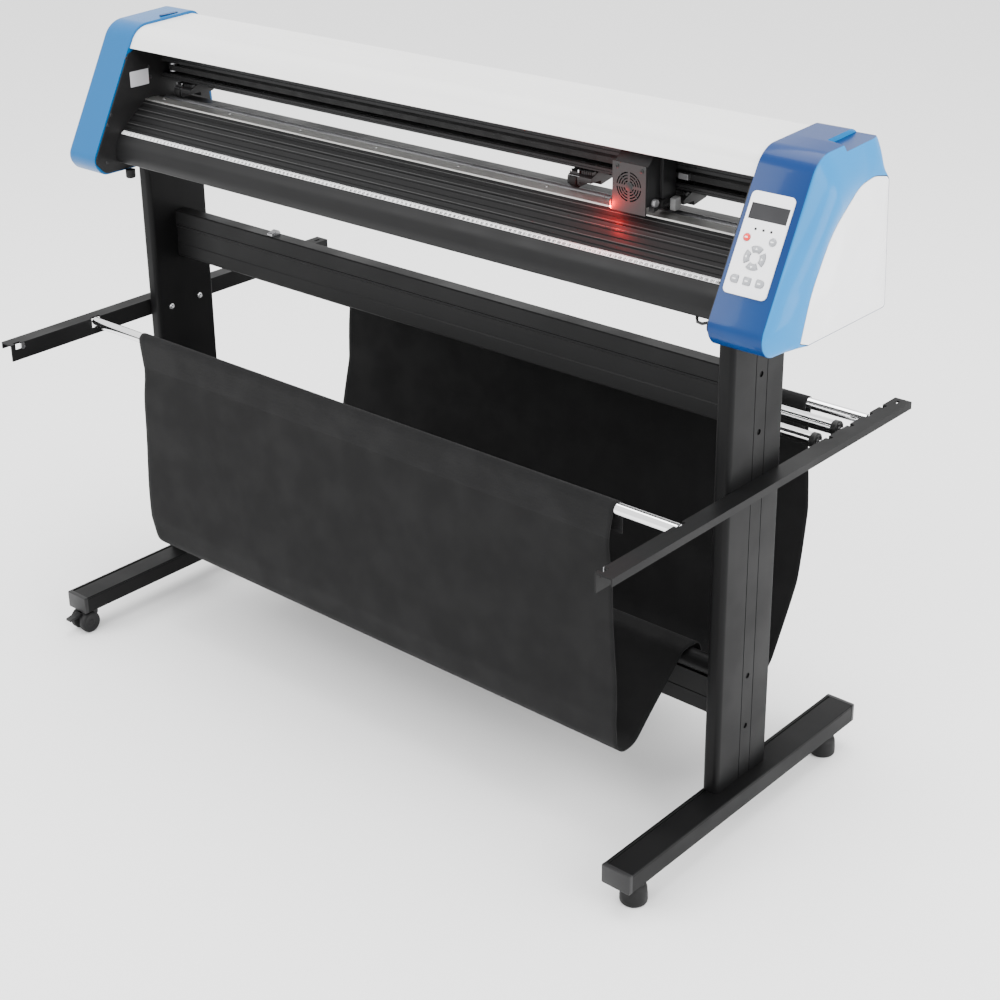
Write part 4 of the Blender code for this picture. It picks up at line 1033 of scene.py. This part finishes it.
def dress_pinch():
    """Each pinch wheel's tyre and hub, profiles turned round its axis, and on its arm a plate, a
    saddle, two pegs, a comb, two spring posts and a pin. The arm's pieces stay low enough to clear
    the guide beam when it lifts."""
    for number in (1, 2, 3):
        node = f"pinch_wheel_{number}"
        low, high = span(node)
        x, y, z = (low + high) / 2
        tyre = [(x - 7, 7), (x - 7, 10), (x - 6.6, 10.7), (x - 5.8, 11), (x + 5.8, 11),
                (x + 6.6, 10.7), (x + 7, 10), (x + 7, 7)]
        make(f"pinch_tyre_{number}", turned(tyre, (y, z), "X", 48), RUBBER, node, [node])
        hub = [(x - 10.5, 2.6), (x - 10.2, 3), (x - 7.6, 3), (x - 7.4, 6.6), (x + 7.4, 6.6),
               (x + 7.6, 3), (x + 10.2, 3), (x + 10.5, 2.6)]
        make(f"pinch_hub_{number}", turned(hub, (y, z), "X", 36), GREY_METAL, node)
        body = f"pinch_arm_{number}"
        for index, shift in enumerate((-8.5, 17.0)):
            post = turned([(1070.5, 1.5), (1074, 1.5), (1074.6, 2.4), (1076.6, 2.4), (1077, 2)],
                          (x + shift, 17), "Z", 20)
            make(f"spring_post_{number}_{index}", post, BRIGHT, body)
        plate = block((x - 11.5, -11.4, 1064.9), (x + 11, 6, 1065.7))
        make(f"arm_plate_{number}", plate, GREY_METAL, body, bevel=0.25)
        saddle = rounded([(-8.6, 1066, 1), (-8.6, 1071.5, 2), (12, 1075, 2), (14, 1066, 1)], step=15)
        make(f"arm_saddle_{number}", extrude(saddle, x - 11, x + 9), HEAD_PLASTIC, body,
             bevel=0.5)
        for index, shift in enumerate((-9.5, 5.5)):
            peg = block((x + shift, -8.4, 1070.4), (x + shift + 2.6, -5.6, 1075.2))
            make(f"arm_peg_{number}_{index}", peg, BRIGHT, body, bevel=0.3)
        place = np.arange(6)
        lows = np.column_stack([x + 11.5 + 4.2 * place, np.full(6, -6.0), 1068.9 + 0.2 * place])
        make(f"arm_comb_{number}", together(blocks(lows, lows + np.array([2.6, 8.0, 5.0])),
                                            block((x + 8, -3.4, 1070.6), (x + 35, -0.8, 1074))),
             DARK_PLASTIC, body, clean=False)
        screw(f"arm_pin_{number}", (x - 11.8, -5, 1056), "-X", 3.6, BRIGHT, body, height=1.2)


# ------------------------------------------------------------------ carriage

FAN_CENTRE = (464, 1091.6)
LASER_X = 429.5


def dress_head():
    """Fan screws, hub and spokes on the cover, the bracket with its knob, roller and skid as
    outlines carried along X or profiles turned round it, the blade barrel, the laser and the
    belt clamp."""
    low, high = span("fan_cover")
    for index, (x, z) in enumerate(((low[0] + 9, 1121), (high[0] - 7.5, 1120))):
        screw(f"fan_screw_{index}", (x, low[1] + 0.2, z), "-Y", 3.4, DARK, "head", height=1.2)
    hub = turned([(low[1] + 0.2, 6.2), (low[1] - 0.2, 6.0), (low[1] - 0.4, 5.2)], FAN_CENTRE, "Y", 32)
    make("fan_hub", hub, DARK_PLASTIC, "head")
    spokes = []
    for turn in np.arange(4) * np.pi / 2 + np.pi / 4:
        way = np.array([math.cos(turn), math.sin(turn)])
        side = np.array([-way[1], way[0]])
        spoke = [np.array(FAN_CENTRE) + way * a + side * b
                 for a, b in ((5, -0.7), (24, -0.7), (24, 0.7), (5, 0.7))]
        spokes.append(extrude(spoke, low[1] - 0.15, low[1] + 2.4, "Y"))
    make("fan_spokes", together(*spokes), DARK_PLASTIC, "head")
    bracket = rounded([(-46, 1073, 2), (-46, 1138, 6), (-12, 1141, 3), (-10.4, 1071, 3),
                       (-22, 1060, 3), (-30, 1061, 3)], step=12)
    make("head_bracket", extrude(bracket, 497.3, 503.5), DARK_PLASTIC, "head", bevel=0.8)
    knob = [(497.2, 3), (499, 3), (499.2, 5.4), (501, 6.4), (504.4, 6.6), (506.6, 5.6), (507.4, 3.4)]
    make("clamp_knob", turned(knob, (-64, 1069.5), "X", 36), PALE, "head")
    block_shape = rounded([(-60, 1052, 1.5), (-60, 1064, 2), (-42, 1066, 2), (-38, 1056, 2)], step=15)
    make("knob_block", extrude(block_shape, 488, 498), DARK_PLASTIC, "head", bevel=0.6)
    roller = [(497.6, 2.6), (498, 7.2), (499, 8), (504.6, 8), (505.6, 7.2), (506, 3), (512, 3)]
    make("head_roller", turned(roller, (-42, 1064), "X", 40), RUBBER, "head")
    foot = rounded([(-30, 1050.5, 1.5), (-30, 1070, 2), (-16, 1072, 2), (-14, 1053, 2)], step=15)
    make("head_skid", extrude(foot, 506, 516), PALE_GREY, "head", bevel=0.6)
    low, high = span("tool_holder")
    centre = ((low[0] + high[0]) / 2, (low[1] + high[1]) / 2)
    profile = [(1049.6, 0.7), (1052.6, 1.1), (1053.2, 2.6), (1054.6, 4.2), (1058, 6), (1064, 6),
               (1064.4, 5.4), (1066, 5.4), (1066.4, 6), (1076, 6), (1076.4, 5.4), (1077, 5.4),
               (1077.4, 6), (1108, 6), (1110, 4.5), (1113.4, 4.5), (1114, 3.9)]
    make("tool_barrel", turned(profile, centre, "Z", 44), SATIN, "tool", ["tool_holder"])
    lens = turned([(1050.9, 1.0), (1051.4, 2.4), (1053.6, 3.0), (1056, 3.0)], (LASER_X, -76.5), "Z", 24)
    make("laser_lens", lens, LASER, "head")
    barrel = turned([(1055.6, 3.2), (1056.2, 3.6), (1066, 3.6)], (LASER_X, -76.0), "Z", 28)
    make("laser_barrel", barrel, DARK_PLASTIC, "head")
    clamp = block((508, -13, 1097.4), (526, -5.8, 1107))
    make("belt_clamp", clamp, PALE, "head", bevel=0.8)
    clamp_arm = block((497.4, -10.8, 1099), (509, -6.6, 1105))
    make("belt_clamp_arm", clamp_arm, DARK, "head")


def dress_drive():
    """Belt teeth: equal small boxes at an even pitch on the inside of the belt's front run."""
    low, high = span("timing_belt")
    pitch = np.arange(low[0] + 14, high[0] - 14, 3.0)
    lows = np.column_stack([pitch, np.full(len(pitch), -4.32), np.full(len(pitch), 1096.6)])
    highs = lows + np.array([1.4, 0.5, 8.8])
    make("belt_teeth", blocks(lows, highs), RUBBER, clean=False)


def dress_under():
    """A turned rubber stop under the left cap, and a round hook along a bent path under the
    table's right end."""
    stop = [(918, 9.5), (904.5, 9.5), (902.4, 8.8), (901.4, 7), (901, 3)]
    make("end_stop", turned(stop, (-722, -112), "Z", 40), RUBBER)
    hook = [(628, -118, 937), (628, -124, 931), (632, -128, 926), (640, -128, 925), (650, -124, 928)]
    make("cable_hook", pipe(np.array(hook), 2.4, 14), DARK)


def dress_plates():
    """A blank label and the screws on the inner face of the left side plate."""
    x = span("left_side_plate")[1][0]
    label = rounded_box(-64.5, 1088, 22.5, 15, 1.2)
    make("rating_label", extrude(label, x, x + 0.35), LABEL)
    for index, (y, z) in enumerate(((-92, 1131), (-140, 1030), (-150, 1012), (-40, 1105), (-37, 1085),
                                    (-160, 940))):
        screw(f"plate_screw_{index}", (x, y, z), "+X", 3.0, BLACK_SCREW, height=1.6)


# ------------------------------------------------------------------ keypad

FACE_LOW = np.array([-191.0, 944.0])
FACE_HIGH = np.array([-62.0, 1189.0])
FACE_WAY = (FACE_HIGH - FACE_LOW) / np.linalg.norm(FACE_HIGH - FACE_LOW)
KEY_RING = (733.5, 117.8)


def on_cap(points, out):
    """(x, distance up the sloping face) to space, raised from the face by out."""
    flat = np.asarray(points, float)
    y = FACE_LOW[0] + FACE_WAY[0] * flat[:, 1] - FACE_WAY[1] * out
    z = FACE_LOW[1] + FACE_WAY[1] * flat[:, 1] + FACE_WAY[0] * out
    return np.stack([flat[:, 0], y, z], 1)


def on_cap_loft(steps):
    """Outlines at given heights above the face, joined one to the next."""
    return loft([on_cap(outline, out) for outline, out in steps])


def petal(x, s, facing):
    """A sector of a ring about (x, s), 66 degrees wide: its outer arc out and its inner arc back."""
    turn = facing + np.radians(np.linspace(-33, 33, 13))
    outer = np.stack([x + 17.5 * np.cos(turn), s + 17.5 * np.sin(turn)], 1)
    inner = np.stack([x + 9.0 * np.cos(turn[::-1]), s + 9.0 * np.sin(turn[::-1])], 1)
    return np.vstack([outer, inner])


def d_shape(x, s, side):
    """A rectangle about (x, s) with small corners on one side and nearly half-round ones opposite."""
    near, far = x + 6.5 * side, x - 6.5 * side
    return rounded([(near, s - 5.5, 1.5), (far, s - 5.5, 5.3), (far, s + 5.5, 5.3),
                    (near, s + 5.5, 1.5)], step=12)


def dress_keypad():
    """The plate, display, lights and keys on the cap's sloping face. Each is an outline joined to
    copies of itself, equal or inset, at other heights. The plate has room cut for the display
    and for each key."""
    panel = rounded_box(733.7, 137.4, 36.5, 76.1, 8, 8)
    face = [(panel, 0.3), (panel, 2.0), (inset(panel, 0.25), 2.35), (inset(panel, 0.7), 2.5)]
    x0, s0, x1, s1 = 703.0, 172.6, 766.3, 195.6
    window = np.array([(x0, s0), (x1, s0), (x1, s1), (x0, s1)], float)
    plate = make("keypad_plate", on_cap_loft(face), KEYPAD_WHITE,
                 stands_for=["keypad_panel"], sharp=30)
    carve(plate, on_cap_loft([(inset(window, -0.4), 1.0), (inset(window, -0.4), 6)]), "window_room")
    make("display", on_cap_loft([(window, 0.6), (window, 1.9)]), DISPLAY,
         stands_for=["display_window"])
    rim = [(inset(window, -0.3), 1.1), (inset(window, -0.3), 2.5), (inset(window, 0.9), 2.2),
           (inset(window, 0.9), 1.95)]
    make("display_rim", on_cap_loft(rim), INK)
    for index, x in enumerate((720.7, 734.1, 747.2)):
        dot = circle(20, 1.9) + np.array([x, 159.0])
        steps = [(dot, 2.3), (dot, 2.9), (inset(dot, 0.5), 3.3), (inset(dot, 1.3), 3.5)]
        make(f"status_light_{index}", on_cap_loft(steps), INK)
    keys = {"stop": (circle(32, 5.5) + (711, 144.8), None),
            "menu": (circle(32, 5.5) + (754.3, 145.2), None)}
    for turns, name in ((1, "up"), (2, "left"), (3, "down"), (0, "right")):
        facing = turns * np.pi / 2
        keys[name] = (petal(*KEY_RING, facing), facing)
    keys["reset"] = (d_shape(711.3, 83.3, 1), None)
    keys["enter"] = (rounded_box(732.8, 83.3, 6, 5.5, 1.4), None)
    keys["pause"] = (d_shape(754.4, 83.6, -1), None)
    for name, (outline, facing) in keys.items():
        room = on_cap_loft([(inset(outline, -0.9), 1.0), (inset(outline, -0.9), 6)])
        carve(plate, room, name + "_room")
        middle = outline.mean(0)
        steps = [(outline, 2.0), (outline, 3.1), (inset(outline, 0.35), 3.7)]
        for shrink, out in ((0.8, 4.1), (0.55, 4.45), (0.25, 4.6)):
            steps.append((middle + (inset(outline, 0.35) - middle) * shrink, out))
        finish, slot = (KEY_RED, "red_plastic") if name == "stop" else (KEY_GREY, "grey_plastic")
        make(name + "_keytop", on_cap_loft(steps), finish, name + "_key",
             [name + "_button"], sharp=50)
        if facing is None:
            mark, top = rounded_box(*middle, 2.6, 0.9, 0.5), 4.72
        else:
            way = np.array([math.cos(facing), math.sin(facing)])
            mark, top = circle(3, 2.3, facing) + np.array(KEY_RING) + 13.2 * way, 4.75
        make(name + "_mark", on_cap_loft([(mark, 4.2), (mark, top)]), PALE_PLASTIC,
             name + "_key")


# ------------------------------------------------------------------ plain nodes

def dress_nodes():
    """Finishes for the frame's own pieces that stay as they are."""
    chosen = {
        "left_arm": ARM, "right_arm": ARM, "left_side_plate": PLATE, "right_side_plate": PLATE,
        "main_board": BOARD, "power_supply": GREY_METAL, "power_inlet": DARK_PLASTIC,
        "feed_motor": GREY_METAL, "carriage_motor": GREY_METAL, "timing_belt": RUBBER,
        "drive_pulley": GREY_METAL, "idler_pulley": GREY_METAL, "pinch_arm_1": DARK_PLASTIC,
        "pinch_arm_2": DARK_PLASTIC, "pinch_arm_3": DARK_PLASTIC, "carriage_body": HEAD_PLASTIC,
        "fan_cover": HEAD_PLATE, "fan_rotor": DARK_PLASTIC}
    for name, finish in chosen.items():
        NODES[name].data.materials.clear()
        NODES[name].data.materials.append(finish)


# ------------------------------------------------------------------ studio

FLOOR_HALF, SKY_STRENGTH = 14.0, 1.9
LASER_POWER, LASER_SPOT = 0.6, (0.4225, -0.0845, 1.0555)


def studio():
    """A pale floor under an even white sky, four soft lights, and a small red lamp that rides on
    the head and throws the laser's spot."""
    mesh = bpy.data.meshes.new("floor")
    corners = [(a * FLOOR_HALF, b * FLOOR_HALF, 0) for a, b in ((-1, -1), (1, -1), (1, 1), (-1, 1))]
    mesh.from_pydata(corners, [], [(0, 1, 2, 3)])
    floor = to_scene("floor", mesh)
    finish = Finish("floor", (0.97, 0.97, 0.97), 0.9, Specular_IOR_Level=0.1)
    mesh.materials.append(finish.material)
    world = bpy.data.worlds.new("studio")
    world.use_nodes = True
    sky = world.node_tree.nodes["Background"]
    sky.inputs["Color"].default_value = (1.0, 1.0, 1.0, 1.0)
    sky.inputs["Strength"].default_value = SKY_STRENGTH
    bpy.context.scene.world = world
    soft_light("key", (-2.2, -3.4, 3.4), (0, 0, 0.8), 2.6, 150)
    soft_light("side", (4.2, -0.4, 2.6), (0.6, 0, 0.9), 2.2, 110)
    soft_light("top", (0.2, 0.6, 4.6), (0, 0, 0.9), 3.0, 190)
    soft_light("cap_sheen", (2.6, 0.75, 0.95), (0.79, -0.08, 1.05), 0.8, 16)
    lamp = bpy.data.lights.new("laser_spill", "POINT")
    lamp.energy, lamp.color, lamp.shadow_soft_size = LASER_POWER, (1.0, 0.0, 0.0), 0.003
    spill = to_scene("laser_spill", lamp)
    spill.location = LASER_SPOT
    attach(spill, "head")


def place_along(obj, place, side, up, away):
    """Puts an object at place, its own X, Y and Z along side, up and away."""
    turn = Matrix(np.column_stack([side, up, away]).tolist()).to_4x4()
    obj.matrix_world = Matrix.Translation(place) @ turn


def soft_light(name, place, target, size, power):
    """A square area light that looks at a target and isn't seen by the camera."""
    lamp = bpy.data.lights.new(name, "AREA")
    lamp.shape, lamp.size, lamp.energy = "SQUARE", size, power
    obj = to_scene(name, lamp)
    away = np.array(place, float) - np.array(target, float)
    away /= np.linalg.norm(away)
    side = np.cross((0, 0, 1), away)
    side /= np.linalg.norm(side)
    place_along(obj, place, side, np.cross(away, side), away)
    obj.visible_camera = False


def camera():
    """Stands to the machine's right front, above its top, turned by yaw, pitch and roll."""
    place, yaw, pitch, roll, lens = (2.1352, -2.2905, 1.9089), 43.03, 22.558, -1.345, 67.56
    yaw, pitch, roll = (math.radians(a) for a in (yaw, pitch, roll))
    level = math.cos(pitch)
    ahead = np.array([-math.sin(yaw) * level, math.cos(yaw) * level, -math.sin(pitch)])
    side = np.array([math.cos(yaw), math.sin(yaw), 0.0])
    up = np.cross(side, ahead)
    turned_side = math.cos(roll) * side + math.sin(roll) * up
    turned_up = -math.sin(roll) * side + math.cos(roll) * up
    data = bpy.data.cameras.new("camera")
    data.lens, data.sensor_fit = lens, "HORIZONTAL"
    data.sensor_width, data.sensor_height = 36.0, 36.0
    data.shift_x, data.shift_y = 0.055, -0.11
    data.clip_end = 60
    obj = to_scene("camera", data)
    place_along(obj, place, turned_side, turned_up, -ahead)
    bpy.context.scene.camera = obj


# ------------------------------------------------------------------ assembly

POST_BLACK = extrusion("post_black", (0.0045, 0.0045, 0.0047), "Z")
BEAM_BLACK = extrusion("beam_black", (0.0085, 0.0085, 0.0087), "X")
FOOT_BLACK = extrusion("foot_black", (0.0048, 0.0048, 0.005), "Y")
TABLE_BLACK = extrusion("table_black", (0.011, 0.011, 0.0113), "X", 0.36)
# Lighter than the table: painted highlight for the beads on the slope.
BEAD_PAINTED_HIGHLIGHT = extrusion("bead", (0.05, 0.05, 0.05), "X", 0.3)
GUIDE_BLACK = extrusion("guide_black", (0.02, 0.02, 0.0205), "X", 0.3, 0.3)
ARM = extrusion("arm_black", (0.0075, 0.0075, 0.0077), "Y", 0.46)
PLATE = plastic("plate_black", (0.006, 0.006, 0.0063), 0.5)
# Near-black finish used as painted shadow inside the post holes.
SHADOW = plastic("painted_hole_shadow", (0.0008, 0.0008, 0.0009), 0.9)
DARK = plastic("dark_fitting", (0.008, 0.008, 0.0083), 0.4)
DARK_PLASTIC = plastic("dark_plastic", (0.01, 0.01, 0.0105), 0.45)
HEAD_PLASTIC = plastic("head_plastic", (0.009, 0.009, 0.0095), 0.5)
HEAD_PLATE = plastic("head_plate", (0.018, 0.0175, 0.0175), 0.48)
BLACK_SCREW = plastic("black_screw", (0.02, 0.02, 0.021), 0.3)
INK = plastic("ink", (0.008, 0.008, 0.01), 0.5)
# Dark navy for the finger slot: painted shade.
SLOT_PAINTED_SHADE = plastic("slot_shade_navy", (0.003, 0.03, 0.12), 0.35)
PALE_GREY = plastic("pale_grey", (0.22, 0.22, 0.22), 0.35)
PALE_PLASTIC = plastic("pale_mark", (0.85, 0.86, 0.87), 0.35)
LABEL = plastic("label", (0.5, 0.5, 0.52), 0.5)
SCALE_WHITE = plastic("scale_white", (0.72, 0.72, 0.72), 0.45)
WHITE_GLOSS = plastic("white_gloss", (0.86, 0.86, 0.87), 0.24, 0.00001, 0.3)
KEYPAD_WHITE = plastic("keypad_white", (0.88, 0.88, 0.9), 0.3)
KEY_GREY = plastic("key_grey", (0.3, 0.31, 0.33), 0.28, coat=0.3)
KEY_RED = plastic("key_red", (0.72, 0.02, 0.02), 0.25, coat=0.4)
BOARD = plastic("circuit_board", (0.03, 0.2, 0.08), 0.5)
WHITE_SHEET = painted_sheet()
# Both caps: the deep blue is painted shade and the bright blue is painted light, blended by facing.
LEFT_PAINT_AND_SHADE = cap_paint("left_azure_painted_shade", (0.0, 0.07, 0.2), (0.0, 0.093, 0.265), -0.9, 0.2)
RIGHT_PAINT_AND_SHADE = cap_paint("right_blue_painted_shade", (0.0, 0.024, 0.115), (0.0, 0.18, 0.46), 0.15, 0.75)
CHROME = metal("chrome", (0.86, 0.86, 0.87), 0.1)
SATIN = metal("satin", (0.62, 0.63, 0.63), 0.28)
STRIP_METAL = metal("strip_metal", (0.52, 0.515, 0.5), 0.42)
BRIGHT = metal("bright_screw", (0.75, 0.75, 0.76), 0.22)
GREY_METAL = metal("grey_metal", (0.3, 0.3, 0.31), 0.32)
KNURL = metal("knurl", (0.22, 0.22, 0.23), 0.5)
PALE = metal("pale_metal", (0.2, 0.2, 0.205), 0.35, metallic=0.6)
RUBBER = rubber("rubber", (0.005, 0.005, 0.0052))
TYRE = rubber("tyre", (0.007, 0.007, 0.0073))
CLOTH = basket_cloth()
LASER = glow("laser", (1.0, 0.0, 0.0), 1.8)
DISPLAY = display_glass()

dress_post("left_post_extrusion", "left_post", -1, POST_BLACK)
dress_post("right_post_extrusion", "right_post", 1, POST_BLACK)
dress_foot("left_foot_extrusion", "left_foot", FOOT_BLACK, DARK_PLASTIC)
dress_foot("right_foot_extrusion", "right_foot", FOOT_BLACK, DARK_PLASTIC)
dress_beams(BEAM_BLACK)
dress_bars()
dress_rubber_feet()
dress_casters()
dress_arms()
basket()
dress_right_cap(RIGHT_PAINT_AND_SHADE)
dress_left_cap(LEFT_PAINT_AND_SHADE)
dress_hood()
dress_table(TABLE_BLACK)
dress_ruler()
dress_guide(GUIDE_BLACK)
dress_pinch()
dress_head()
dress_drive()
dress_under()
dress_plates()
dress_keypad()
dress_nodes()
studio()
camera()
